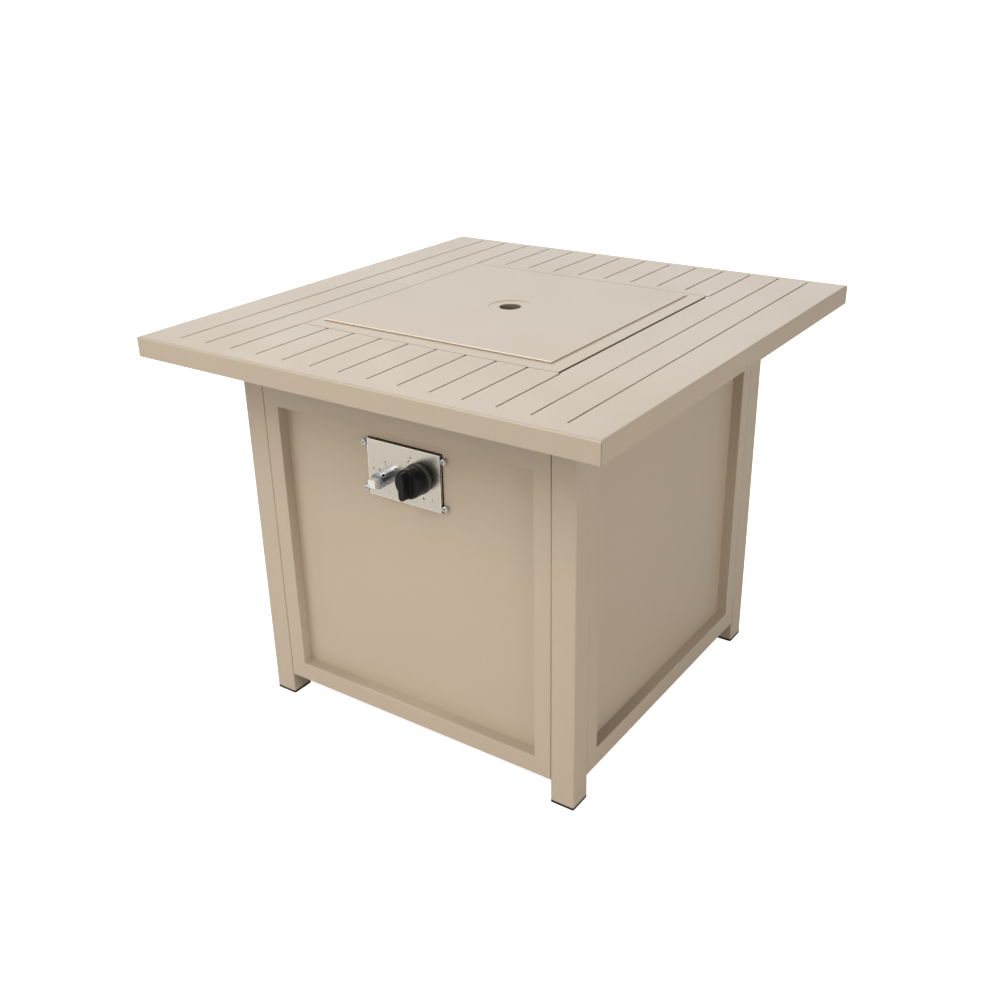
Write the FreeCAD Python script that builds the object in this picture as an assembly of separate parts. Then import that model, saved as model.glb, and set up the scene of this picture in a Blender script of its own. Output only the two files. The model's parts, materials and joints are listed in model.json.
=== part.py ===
import FreeCAD, Part
import math
import os

# A square gas fire-pit table in folded and tubular steel, in millimetres.
# +Z is up, the control plate faces -Y, and the origin is on the floor under the middle of the table.

V = FreeCAD.Vector

# table top
TOP_WIDTH = 800.0
TOP_DEPTH = 828.0
TOP_Z = 652.0
TOP_SHEET = 2.0
SKIRT_DEPTH = 31.0
SKIRT_LIP = 10.0
EDGE_RADIUS = 3.0
SLOT_COUNT = 14
SLOT_PITCH = 51.75
SLOT_WIDTH = 2.6
SLOT_FRONT_MARGIN = 30.0
SLOT_BACK_MARGIN = 18.0
RELIEF_RADIUS = 2.8
WINDOW_X = 232.2
WINDOW_Y = 231.5

# burner frame and lid
FRAME_HALF = 230.0
FRAME_X0 = -230.8
FRAME_X1 = 227.4
FRAME_HOLE = 198.0
FRAME_WALL = 12.0
LEDGE_Z = 634.0
LEDGE_HALF = 188.0
LID_HALF = 209.0
LID_X = -9.0
LID_Y = 8.0
LID_TOP = 654.8
LID_SHEET = 1.5
LID_GAP = 0.7
FINGER_RADIUS = 17.0
FINGER_COLLAR = 9.0
DISH_RADIUS = 37.5
DISH_DEPTH = 0.9

# base
BASE_HALF = 303.0
LEG_SIZE = 40.0
LEG_WALL = 2.0
CORNER_RADIUS = 2.5
BASE_TOP = 617.0
FOOT_HEIGHT = 2.5
FRAME_SETBACK = 0.5
TUBE_DEPTH = 20.0
TUBE_WALL = 1.5
STILE_WIDTH = 28.6
SEAM = 0.4
RAIL_BOTTOM = 40.0
RAIL_LOW_TOP = 72.0
RAIL_HIGH_BOTTOM = 537.0
PANEL_SHEET = 1.5
SEAT_RADIUS = 108.0
BEAM_X0 = 236.0
BEAM_X1 = 264.0
BEAM_HALF = 330.0
BOLT_RADIUS = 3.0
BOLT_PLACES = [(x, y) for x in (-250.0, 250.0) for y in (-248.0, 248.0)]

# control plate
PLATE_Z = 471.5
PLATE_HALF_X = 67.5
PLATE_HALF_Z = 45.0
PLATE_PROUD = 5.0
PLATE_GAP = 1.5
SCREW_X = 73.5
SCREW_Z = 37.0
SCREW_RADIUS = 2.5
SCREW_PLACES = [(x, PLATE_Z + z) for x in (-SCREW_X, SCREW_X) for z in (-SCREW_Z, SCREW_Z)]

# knob and valve
KNOB_X = 26.0
KNOB_RADIUS = 23.0
KNOB_TRAVEL = 4.0
BEZEL_HEIGHT = 3.4
STEM_RADIUS = 4.0
STEM_END = -268.0
CHAMBER_RADIUS = 7.1
NECK_FRONT = -292.8
NECK_RADIUS = 7.0
CHAMBER_FRONT = -284.0
CHAMBER_BACK = -262.0
PLUNGER_LENGTH = 6.0
VALVE_Y = -245.0
BLOCK_HALF = 14.0
BLOCK_BACK = -228.0
OUTLET_Z = 497.0
INLET_RADIUS = 7.94
INLET_Z = 438.0
INLET_TOP = 450.0
FLARE_HEIGHT = 3.4

# igniter
IGNITER_X = -34.0
IGNITER_Z = 461.0
COLLAR_RADIUS = 12.0
COLLAR_LENGTH = 22.0
BARREL_RADIUS = 10.0
BARREL_BACK = -238.0
BUTTON_HALF_X = 7.0
BUTTON_HALF_Z = 6.5
BUTTON_PROUD = 12.0
BUTTON_LENGTH = 26.0
BUTTON_SLACK = 0.3

# burner
PAN_HALF = 185.0
PAN_FLANGE = 195.5
PAN_BOTTOM = 566.0
PAN_SHEET = 1.5
STUB_RADIUS = 9.0
STUB_DROP = 18.0
RING_RADIUS = 115.0
RING_TUBE = 7.0
RING_Z = 590.0
PORT_COUNT = 32
PROBE_Z = 585.0
PROBES = ((-11.0, 3.0), (11.0, 2.2))
PIPE_Z = 524.0
PIPE_END = -24.0
PIPE_RADIUS = 5.0

# door
DOOR_GAP = 1.8
DOOR_RAIL = 32.0
PULL_X = -247.0
PULL_Z = 305.0
MAGNET_X = -200.0
MAGNET_HALF = 20.0
HINGE_X = 262.1
HINGE_Y = 306.8
HINGE_LENGTH = 60.0
HINGE_HEIGHTS = (150.0, 470.0)
KNUCKLE_RADIUS = 3.5
PIN_RADIUS = 1.75
RUNNING_GAP = 0.06

# places worked out from the sizes above
FACE = BASE_HALF - FRAME_SETBACK
TUBE_BACK = FACE - TUBE_DEPTH
PANEL_FACE = TUBE_BACK + PANEL_SHEET
STILE_OUTER = BASE_HALF - LEG_SIZE - SEAM
STILE_INNER = STILE_OUTER - STILE_WIDTH
PLATE_FACE = PANEL_FACE + PLATE_PROUD
PLATE_BACK = PLATE_FACE - PANEL_SHEET
DOOR_HALF = BASE_HALF - LEG_SIZE - DOOR_GAP
DOOR_LOW = RAIL_LOW_TOP + 2.0
DOOR_HIGH = RAIL_HIGH_BOTTOM - 2.0
LID_UNDER = LID_TOP - LID_SHEET
KNOB_BACK = PLATE_FACE + BEZEL_HEIGHT + KNOB_TRAVEL + 0.9
KNOB_SHOULDER = PLATE_FACE + 26.5
KNOB_NOSE = PLATE_FACE + 40.0
PLUNGER_FRONT = CHAMBER_FRONT + 0.3
COLLAR_FRONT = -PLATE_FACE - COLLAR_LENGTH
BUTTON_FRONT = COLLAR_FRONT - BUTTON_PROUD


def box(x0, x1, y0, y1, z0, z1):
    """A solid block between two corners."""
    return Part.makeBox(x1 - x0, y1 - y0, z1 - z0, V(x0, y0, z0))


def rod(radius, start, end):
    """A round bar from one point to another."""
    axis = end - start
    return Part.makeCylinder(radius, axis.Length, start, axis)


def rod_y(radius, x, z, y0, y1):
    """A round bar along Y."""
    return rod(radius, V(x, y0, z), V(x, y1, z))


def rod_z(radius, x, y, z0, z1):
    """A round bar along Z."""
    return rod(radius, V(x, y, z0), V(x, y, z1))


def hexagon(flats, start, end):
    """A hexagonal bar, given across its flats."""
    axis = end - start
    corner = flats / math.sqrt(3.0)
    side = V(0, 0, 1).cross(axis)
    if side.Length < 1e-6:
        side = V(1, 0, 0)
    side.normalize()
    turn = FreeCAD.Rotation(axis, 60.0)
    points = [side * corner]
    for _ in range(6):
        points.append(turn.multVec(points[-1]))
    outline = Part.makePolygon([start + point for point in points[:6]] + [start + points[0]])
    return Part.Face(outline).extrude(axis)


def hex_nut(flats, bore, start, end):
    """A hexagon nut with a plain bore."""
    return hexagon(flats, start, end).cut(rod(bore, start, end))


def join(shapes):
    """Fuse touching solids into one."""
    return shapes[0].multiFuse(shapes[1:]).removeSplitter()


def round_upright_edges(shape, radius):
    """Round the edges that run along Z."""
    edges = [edge for edge in shape.Edges if abs(edge.tangentAt(edge.FirstParameter).z) > 0.99]
    return shape.makeFillet(radius, edges)


def turned(shape, degrees):
    """A copy turned about the table's upright axis."""
    copy = shape.copy()
    copy.rotate(V(0, 0, 0), V(0, 0, 1), degrees)
    return copy


def tube_x(x0, x1, y0, y1, z0, z1, wall):
    """A rectangular tube along X."""
    return box(x0, x1, y0, y1, z0, z1).cut(box(x0, x1, y0 + wall, y1 - wall, z0 + wall, z1 - wall))


def tube_y(x0, x1, y0, y1, z0, z1, wall):
    """A rectangular tube along Y."""
    return box(x0, x1, y0, y1, z0, z1).cut(box(x0 + wall, x1 - wall, y0, y1, z0 + wall, z1 - wall))


def tube_z(x0, x1, y0, y1, z0, z1, wall):
    """A rectangular tube along Z, closed at both ends."""
    return box(x0, x1, y0, y1, z0, z1).cut(
        box(x0 + wall, x1 - wall, y0 + wall, y1 - wall, z0 + wall, z1 - wall))


def leg(sign_x, sign_y):
    """A square tube leg with rounded corners and a closed top."""
    inner = BASE_HALF - LEG_SIZE
    outside = box(inner, BASE_HALF, inner, BASE_HALF, FOOT_HEIGHT, BASE_TOP)
    outside = round_upright_edges(outside, CORNER_RADIUS)
    inside = box(inner + LEG_WALL, BASE_HALF - LEG_WALL, inner + LEG_WALL, BASE_HALF - LEG_WALL,
                 FOOT_HEIGHT, BASE_TOP - LEG_WALL)
    middle = BASE_HALF - LEG_SIZE / 2.0
    tube = outside.cut(inside)
    tube.translate(V(-middle, -middle, 0))
    tube.translate(V(middle * sign_x, middle * sign_y, 0))
    return tube


def foot_cap(sign_x, sign_y):
    """A plastic cap with a rim under the tube and a plug inside it."""
    middle = BASE_HALF - LEG_SIZE / 2.0
    rim = LEG_SIZE / 2.0 - 0.8
    plug = LEG_SIZE / 2.0 - LEG_WALL - 0.3
    core = plug - 2.5
    plug_top = 22.0
    sole = round_upright_edges(box(-rim, rim, -rim, rim, 0, FOOT_HEIGHT), CORNER_RADIUS)
    stem = box(-plug, plug, -plug, plug, FOOT_HEIGHT, plug_top)
    pocket = box(-core, core, -core, core, FOOT_HEIGHT, plug_top)
    cap = join([sole, stem.cut(pocket)])
    cap.translate(V(middle * sign_x, middle * sign_y, 0))
    return cap


def side_frame():
    """Two stiles and two rails of a front frame, butted and welded."""
    pieces = []
    for x0 in (-STILE_OUTER, STILE_INNER):
        pieces.append(tube_z(x0, x0 + STILE_WIDTH, -FACE, -TUBE_BACK, RAIL_BOTTOM, BASE_TOP, TUBE_WALL))
    for z0, z1 in ((RAIL_BOTTOM, RAIL_LOW_TOP), (RAIL_HIGH_BOTTOM, BASE_TOP)):
        pieces.append(tube_x(-STILE_INNER, STILE_INNER, -FACE, -TUBE_BACK, z0, z1, TUBE_WALL))
    return Part.makeCompound(pieces)


def plain_panel():
    """The recessed sheet behind a front frame."""
    return box(-STILE_INNER, STILE_INNER, -PANEL_FACE, -TUBE_BACK, RAIL_LOW_TOP, RAIL_HIGH_BOTTOM)


def control_panel():
    """The front sheet, with the control cut-out and four screw holes."""
    half_x = PLATE_HALF_X + PLATE_GAP
    half_z = PLATE_HALF_Z + PLATE_GAP
    sheet = plain_panel()
    sheet = sheet.cut(box(-half_x, half_x, -PANEL_FACE, -TUBE_BACK, PLATE_Z - half_z, PLATE_Z + half_z))
    return sheet.cut(Part.makeCompound(screw_rods(SCREW_RADIUS + 0.1, -PANEL_FACE, -TUBE_BACK)))


def back_rail(z0, z1):
    """A rail across the back, above or below the door."""
    return tube_x(-STILE_OUTER, STILE_OUTER, TUBE_BACK, FACE, z0, z1, TUBE_WALL)


def corner_gussets():
    """Plates in the base's top corners that carry the top beams."""
    inner = BASE_HALF - LEG_SIZE - 0.2
    near = 200.0
    thick = 3.0
    outline = [V(TUBE_BACK, near, 0), V(TUBE_BACK, inner, 0), V(inner, inner, 0),
               V(inner, TUBE_BACK, 0), V(near, TUBE_BACK, 0)]
    plate = Part.Face(Part.makePolygon(outline + [outline[0]])).extrude(V(0, 0, thick))
    plate.translate(V(0, 0, BASE_TOP - thick))
    holes = Part.makeCompound(bolt_rods(BOLT_RADIUS + 0.3, BASE_TOP - thick, BASE_TOP))
    return Part.makeCompound([turned(plate, 90.0 * step).cut(holes) for step in range(4)])


def bolt_rods(radius, z0, z1):
    """One upright bar at each of the four top bolts."""
    return [rod_z(radius, x, y, z0, z1) for x, y in BOLT_PLACES]


def top_bolts():
    """Hexagon bolts that hold the top beams down on the gussets."""
    seat = BASE_TOP - 3.0
    washer_low = seat - 1.6
    pieces = []
    for x, y in BOLT_PLACES:
        head = hexagon(10.0, V(x, y, washer_low - 4.0), V(x, y, washer_low))
        washer = rod_z(6.5, x, y, washer_low, seat)
        shank = rod_z(BOLT_RADIUS, x, y, seat, BASE_TOP + 12.0)
        pieces.append(join([head, washer, shank]))
    return Part.makeCompound(pieces)


def tank_tray():
    """The bottom shelf, notched round the legs, with a lipped round seat for the gas bottle."""
    half = TUBE_BACK - 0.5
    notch = BASE_HALF - LEG_SIZE - 0.5
    high = 56.0
    low = high - 12.0
    wall = 1.5

    def outline(inset, z0, z1):
        body = box(-half + inset, half - inset, -half + inset, half - inset, z0, z1)
        reach = notch - inset
        corners = [turned(box(reach, half + 1, reach, half + 1, z0, z1), 90.0 * step) for step in range(4)]
        return body.cut(Part.makeCompound(corners))

    tray = outline(0.0, low, high).cut(outline(wall, low, high - wall))
    collar = rod_z(SEAT_RADIUS + wall, 0, 0, low, high)
    return join([tray, collar]).cut(rod_z(SEAT_RADIUS, 0, 0, low, high))


def door_frame():
    """The door's two stiles and two rails."""
    inner = DOOR_HALF - STILE_WIDTH
    pieces = []
    for x0 in (-DOOR_HALF, inner):
        pieces.append(tube_z(x0, x0 + STILE_WIDTH, TUBE_BACK, FACE, DOOR_LOW, DOOR_HIGH, TUBE_WALL))
    for z0 in (DOOR_LOW, DOOR_HIGH - DOOR_RAIL):
        pieces.append(tube_x(-inner, inner, TUBE_BACK, FACE, z0, z0 + DOOR_RAIL, TUBE_WALL))
    return Part.makeCompound(pieces)


def door_sheet():
    """The door's recessed sheet."""
    inner = DOOR_HALF - STILE_WIDTH
    return box(-inner, inner, TUBE_BACK, PANEL_FACE, DOOR_LOW + DOOR_RAIL, DOOR_HIGH - DOOR_RAIL)


def knuckle(z0, z1, bore):
    """One barrel of a hinge."""
    return rod_z(KNUCKLE_RADIUS, HINGE_X, HINGE_Y, z0, z1).cut(rod_z(bore, HINGE_X, HINGE_Y, z0, z1))


def rivet_heads(x, y, z0):
    """Two domed rivet heads on a leaf."""
    radius = 5.0
    sunk = 3.0
    heads = []
    for z in (z0 + 0.22 * HINGE_LENGTH, z0 + 0.78 * HINGE_LENGTH):
        ball = Part.makeSphere(radius, V(x, y - sunk, z))
        heads.append(ball.common(box(x - radius, x + radius, y, y + radius, z - radius, z + radius)))
    return heads


def hinge_leaf(side, face, spans, bore, z0):
    """A leaf on one side of the pin, with its barrels at the given heights."""
    thick = 1.5
    far = HINGE_X + side * 28.0
    near = HINGE_X + side * 4.4
    plate = box(min(far, near), max(far, near), face, face + thick, z0, z0 + HINGE_LENGTH)
    parts = [plate] + rivet_heads(HINGE_X + side * 17.0, face + thick, z0)
    for low, high in spans:
        web = box(min(HINGE_X, near), max(HINGE_X, near), face, face + thick + 0.6, z0 + low, z0 + high)
        clear = rod_z(bore, HINGE_X, HINGE_Y, z0 + low, z0 + high)
        barrel = join([knuckle(z0 + low, z0 + high, bore), web.cut(clear)])
        parts.append(barrel)
    return join(parts)


def hinge_leaves():
    """The leaves on the leg: each holds the outer two barrels."""
    third = HINGE_LENGTH / 3.0
    spans = ((0.0, third), (2.0 * third, HINGE_LENGTH))
    return Part.makeCompound([hinge_leaf(1.0, BASE_HALF, spans, PIN_RADIUS, z) for z in HINGE_HEIGHTS])


def door_leaves():
    """The leaves on the door: each holds the middle barrel, which turns on the pin."""
    third = HINGE_LENGTH / 3.0
    spans = ((third + 0.3, 2.0 * third - 0.3),)
    bore = PIN_RADIUS + RUNNING_GAP
    return Part.makeCompound([hinge_leaf(-1.0, FACE, spans, bore, z) for z in HINGE_HEIGHTS])


def hinge_pins():
    """Headed pins through the hinge barrels."""
    pieces = []
    for z in HINGE_HEIGHTS:
        shank = rod_z(PIN_RADIUS, HINGE_X, HINGE_Y, z, z + HINGE_LENGTH)
        head = rod_z(2.8, HINGE_X, HINGE_Y, z + HINGE_LENGTH, z + HINGE_LENGTH + 1.5)
        pieces.append(join([shank, head]))
    return Part.makeCompound(pieces)


def door_pull():
    """A round pull on the door's free stile, turned to a waist."""
    waist = 5.5
    foot = 7.5
    head = 12.0
    length = 22.5
    profile = [V(0, 0, 0), V(foot, 0, 0), V(foot, 2, 0), V(waist, 5, 0), V(waist, 12, 0),
               V(head, 17, 0), V(head, 20, 0), V(head - 2.5, length, 0), V(0, length, 0)]
    face = Part.Face(Part.makePolygon(profile + [profile[0]]))
    pull = face.revolve(V(0, 0, 0), V(0, 1, 0), 360)
    pull.translate(V(PULL_X, FACE, PULL_Z))
    return pull


def door_magnet():
    """A magnet block hung from the back of the upper rail on a bent strap."""
    x0 = MAGNET_X - MAGNET_HALF
    x1 = MAGNET_X + MAGNET_HALF
    front = TUBE_BACK - 20.5
    block_back = TUBE_BACK - 1.9
    block_top = RAIL_HIGH_BOTTOM - 4.0
    strap = 1.6
    block = box(x0, x1, front, block_back, block_top - 28.0, block_top)
    shelf = box(x0, x1, front, TUBE_BACK - 1.5, block_top, block_top + strap)
    plate = box(x0, x1, TUBE_BACK - 1.5 - strap, TUBE_BACK - 1.5, block_top, block_top + 27.0)
    weld = box(x0, x1, TUBE_BACK - 1.5, TUBE_BACK, block_top + 5.0, block_top + 27.0)
    return join([block, shelf, plate, weld])


def door_strike():
    """The steel plate that the magnet holds."""
    half = MAGNET_HALF - 4.0
    high = DOOR_HIGH - 4.0
    return box(MAGNET_X - half, MAGNET_X + half, TUBE_BACK - 1.5, TUBE_BACK, high - 25.0, high)


def slot_cut(x, y0, y1):
    """A long slot that ends in a round relief at its back."""
    z0 = TOP_Z - 2.0 * TOP_SHEET
    z1 = TOP_Z + 1.0
    return [box(x - SLOT_WIDTH / 2.0, x + SLOT_WIDTH / 2.0, y0, y1, z0, z1),
            rod_z(RELIEF_RADIUS, x, y1, z0, z1)]


def all_slots():
    """The slots: the middle ones stop either side of the window."""
    front = -TOP_DEPTH / 2.0 + SLOT_FRONT_MARGIN
    back = TOP_DEPTH / 2.0 - SLOT_BACK_MARGIN
    web_front = 1.5
    web_back = 17.5
    cuts = []
    for index in range(SLOT_COUNT):
        x = (index - (SLOT_COUNT - 1) / 2.0) * SLOT_PITCH
        if abs(x) > WINDOW_X + SLOT_PITCH / 2.0:
            cuts += slot_cut(x, front, back)
        elif abs(x) > WINDOW_X:
            cuts.append(slot_cut(x, front, -WINDOW_Y)[0])
            cuts += slot_cut(x, WINDOW_Y, back)
        else:
            cuts += slot_cut(x, front, -WINDOW_Y - web_front)
            cuts += slot_cut(x, WINDOW_Y + web_back, back)
    return Part.makeCompound(cuts)


def table_top():
    """The slatted sheet with its downturned edge, folded lip and square window."""
    half_x = TOP_WIDTH / 2.0
    half_y = TOP_DEPTH / 2.0
    low = TOP_Z - SKIRT_DEPTH
    outside = box(-half_x, half_x, -half_y, half_y, low, TOP_Z)
    rim = [edge for edge in outside.Edges if abs(edge.CenterOfMass.z - TOP_Z) < 0.01]
    outside = outside.makeFillet(EDGE_RADIUS, rim)
    wall = TOP_SHEET
    hollow = box(-half_x + wall, half_x - wall, -half_y + wall, half_y - wall, low + wall, TOP_Z - wall)
    mouth = box(-half_x + SKIRT_LIP, half_x - SKIRT_LIP, -half_y + SKIRT_LIP, half_y - SKIRT_LIP,
                low, low + wall)
    window = box(-WINDOW_X, WINDOW_X, -WINDOW_Y, WINDOW_Y, TOP_Z - wall, TOP_Z)
    return outside.cut(hollow).cut(mouth).cut(window).cut(all_slots())


def top_beam(side):
    """A box beam from front to back under the slats, drilled for the top bolts."""
    x0 = min(side * BEAM_X0, side * BEAM_X1)
    x1 = max(side * BEAM_X0, side * BEAM_X1)
    beam = tube_y(x0, x1, -BEAM_HALF, BEAM_HALF, BASE_TOP, TOP_Z - TOP_SHEET, TUBE_WALL)
    return beam.cut(Part.makeCompound(bolt_rods(BOLT_RADIUS, BASE_TOP, BASE_TOP + 12.0)))


def slat_bars():
    """Two bars across the slats, at the front and the back."""
    z1 = TOP_Z - TOP_SHEET
    size = 20.0
    half = 372.0
    pieces = []
    for y0 in (-BEAM_HALF - 2.0 - size, BEAM_HALF + 2.0):
        pieces.append(tube_x(-half, half, y0, y0 + size, z1 - size, z1, TUBE_WALL))
    return Part.makeCompound(pieces)


def frame_seats():
    """Four angles under the window that the burner frame drops on to."""
    z0 = TOP_Z - FRAME_WALL - 2.0
    z1 = TOP_Z - TOP_SHEET
    reach = 14.0
    pieces = []
    for side in (-1.0, 1.0):
        wall = sorted((side * WINDOW_X, side * (WINDOW_X + 2.0)))
        tread = sorted((side * (WINDOW_X - reach), side * WINDOW_X))
        pieces.append(join([box(wall[0], wall[1], -WINDOW_Y, WINDOW_Y, z0, z1),
                            box(tread[0], tread[1], -WINDOW_Y, WINDOW_Y, z0, z0 + 2.0)]))
        wall = sorted((side * WINDOW_Y, side * (WINDOW_Y + 2.0)))
        tread = sorted((side * (WINDOW_Y - reach), side * WINDOW_Y))
        end = WINDOW_X - reach - 0.3
        pieces.append(join([box(-end, end, wall[0], wall[1], z0, z1),
                            box(-end, end, tread[0], tread[1], z0, z0 + 2.0)]))
    return Part.makeCompound(pieces)


def square_ring(outer, inner, z0, z1):
    """A square plate with a square hole."""
    return box(-outer, outer, -outer, outer, z0, z1).cut(box(-inner, inner, -inner, inner, z0, z1))


def burner_frame():
    """The drop-in frame: a flat top, an outer wall, an inner wall and a ledge for the pan."""
    wall = 2.0
    low = TOP_Z - FRAME_WALL
    half = FRAME_HALF
    outside = box(FRAME_X0, FRAME_X1, -half, half, low, TOP_Z)
    hollow = box(FRAME_X0 + wall, FRAME_X1 - wall, -half + wall, half - wall, low, TOP_Z - wall)
    throat = square_ring(FRAME_HOLE + wall, FRAME_HOLE, LEDGE_Z, TOP_Z - wall)
    ledge = square_ring(FRAME_HOLE + wall, LEDGE_HALF, LEDGE_Z, LEDGE_Z + wall)
    frame = join([outside.cut(hollow), throat, ledge])
    return frame.cut(box(-FRAME_HOLE, FRAME_HOLE, -FRAME_HOLE, FRAME_HOLE, LEDGE_Z + wall, TOP_Z + 1))


def on_lid(shape):
    """Move a shape from the middle of the table to the lid's place, a little back and to the left."""
    shape.translate(V(LID_X, LID_Y, 0))
    return shape


def lid():
    """A flat lid with folded edges and a dished, flanged finger hole."""
    rim_low = TOP_Z + LID_GAP
    outside = box(-LID_HALF, LID_HALF, -LID_HALF, LID_HALF, rim_low, LID_TOP)
    crest = [edge for edge in outside.Edges if abs(edge.CenterOfMass.z - LID_TOP) < 0.01]
    outside = outside.makeFillet(0.8, crest)
    inset = LID_HALF - LID_SHEET
    sheet = outside.cut(box(-inset, inset, -inset, inset, rim_low, LID_UNDER))
    dish_floor = rod_z(DISH_RADIUS + 1.0, 0, 0, LID_UNDER - DISH_DEPTH, LID_UNDER)
    collar = rod_z(FINGER_RADIUS + LID_SHEET, 0, 0, LID_UNDER - FINGER_COLLAR, LID_UNDER)
    sheet = join([sheet, dish_floor, collar])
    dish = Part.makeCone(DISH_RADIUS - 1.5, DISH_RADIUS, DISH_DEPTH, V(0, 0, LID_TOP - DISH_DEPTH))
    return on_lid(sheet.cut(dish).cut(rod_z(FINGER_RADIUS, 0, 0, LID_UNDER - FINGER_COLLAR, LID_TOP)))


def lid_tabs():
    """Four short tabs that drop inside the burner frame, with room for the lid to sit off centre."""
    outer = FRAME_HOLE - 10.5
    tab = box(-30, 30, -outer, -outer + 1.5, LID_UNDER - 15.0, LID_UNDER)
    return on_lid(Part.makeCompound([turned(tab, 90.0 * step) for step in range(4)]))


def lid_stiffeners():
    """Two channels across the underside of the lid."""
    pieces = []
    for y in (-110.0, 110.0):
        channel = box(-150, 150, y - 12, y + 12, LID_UNDER - 8.0, LID_UNDER)
        pieces.append(channel.cut(box(-150, 150, y - 10.5, y + 10.5, LID_UNDER - 6.5, LID_UNDER)))
    return on_lid(Part.makeCompound(pieces))


def lid_pads():
    """Four soft strips under the lid's rim, just over the burner frame."""
    outer = LID_HALF - 0.15
    strip = box(-25, 25, -outer, -outer + 1.2, TOP_Z + 0.3, TOP_Z + LID_GAP)
    return on_lid(Part.makeCompound([turned(strip, 90.0 * step) for step in range(4)]))


def burner_pan():
    """The pan's floor plate with a centre hole and drain holes."""
    floor = PAN_BOTTOM + PAN_SHEET
    plate = box(-PAN_HALF, PAN_HALF, -PAN_HALF, PAN_HALF, PAN_BOTTOM, floor)
    drain_circle = 160.0
    holes = [rod_z(STUB_RADIUS + 0.3, 0, 0, PAN_BOTTOM, floor)]
    for step in range(8):
        angle = math.radians(22.5 + 45.0 * step)
        x = drain_circle * math.cos(angle)
        y = drain_circle * math.sin(angle)
        holes.append(rod_z(5.0, x, y, PAN_BOTTOM, floor))
    return plate.cut(Part.makeCompound(holes))


def mitred_strip(inner, outer, z0, z1):
    """One side of a square frame between two half widths, cut at 45 degrees at both ends."""
    outline = [V(-outer, -outer, z0), V(outer, -outer, z0), V(inner, -inner, z0), V(-inner, -inner, z0)]
    return Part.Face(Part.makePolygon(outline + outline[:1])).extrude(V(0, 0, z1 - z0))


def pan_walls():
    """Four walls welded on the pan's floor and four mitred strips that hang on the ledge."""
    flange_z = LEDGE_Z + 2.0
    inner = PAN_HALF - PAN_SHEET
    wall = mitred_strip(inner, PAN_HALF, PAN_BOTTOM + PAN_SHEET, flange_z)
    strip = mitred_strip(inner, PAN_FLANGE, flange_z, flange_z + PAN_SHEET)
    sides = [turned(piece, 90.0 * step) for piece in (wall, strip) for step in range(4)]
    return Part.makeCompound(sides)


def burner_ring():
    """A hollow ring with a cross tube, a hub and a row of gas ports."""
    center = V(0, 0, RING_Z)
    spoke = RING_TUBE - 1.0
    wall = 1.5
    hub_low = RING_Z - 13.0
    hub_floor = RING_Z - 3.0
    hub_high = RING_Z + 10.0
    outside = join([turned(Part.makeTorus(RING_RADIUS, RING_TUBE, center, V(0, 0, 1)), 45.0),
                    rod(spoke, V(-RING_RADIUS, 0, RING_Z), V(RING_RADIUS, 0, RING_Z)),
                    rod_z(18.0, 0, 0, hub_low, hub_high)])
    gas = join([turned(Part.makeTorus(RING_RADIUS, RING_TUBE - wall, center, V(0, 0, 1)), 45.0),
                rod(spoke - wall, V(-RING_RADIUS, 0, RING_Z), V(RING_RADIUS, 0, RING_Z)),
                rod_z(11.0, 0, 0, hub_floor, hub_high - 2.0)])
    ring = outside.cut(gas).cut(rod_z(STUB_RADIUS, 0, 0, hub_low, hub_floor))
    ports = []
    for index in range(PORT_COUNT):
        angle = 2.0 * math.pi * (index + 0.5) / PORT_COUNT
        x = RING_RADIUS * math.cos(angle)
        y = RING_RADIUS * math.sin(angle)
        ports.append(rod_z(1.3, x, y, RING_Z, RING_Z + RING_TUBE + 1.0))
    return ring.cut(Part.makeCompound(ports))


def burner_stub():
    """The threaded stub that carries the ring, with a hexagon shoulder in the pan."""
    low = PAN_BOTTOM - STUB_DROP
    high = RING_Z - 3.0
    floor = PAN_BOTTOM + PAN_SHEET
    stub = rod_z(STUB_RADIUS, 0, 0, low, high)
    shoulder = hexagon(28.0, V(0, 0, floor), V(0, 0, floor + 6.0))
    return join([stub, shoulder]).cut(rod_z(STUB_RADIUS - 3.0, 0, 0, low, high))


def pan_locknut():
    """The nut that clamps the stub to the pan from below."""
    return hex_nut(28.0, STUB_RADIUS, V(0, 0, PAN_BOTTOM - 8.0), V(0, 0, PAN_BOTTOM))


def air_mixer():
    """The mixing chamber below the pan, with air windows and a side inlet."""
    top = PAN_BOTTOM - 9.0
    step = PAN_BOTTOM - STUB_DROP
    low = PIPE_Z - 12.0
    body = join([rod_z(12.0, 0, 0, low, top), rod_y(8.0, 0, PIPE_Z, PIPE_END, 0)])
    body = body.cut(rod_z(STUB_RADIUS, 0, 0, step, top))
    body = body.cut(rod_z(STUB_RADIUS - 2.0, 0, 0, low + 7.0, step))
    body = body.cut(rod_y(3.0, 0, PIPE_Z, PIPE_END, 0))
    return body.cut(box(-13, 13, -4, 4, PIPE_Z + 8.0, PIPE_Z + 19.0))


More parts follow.
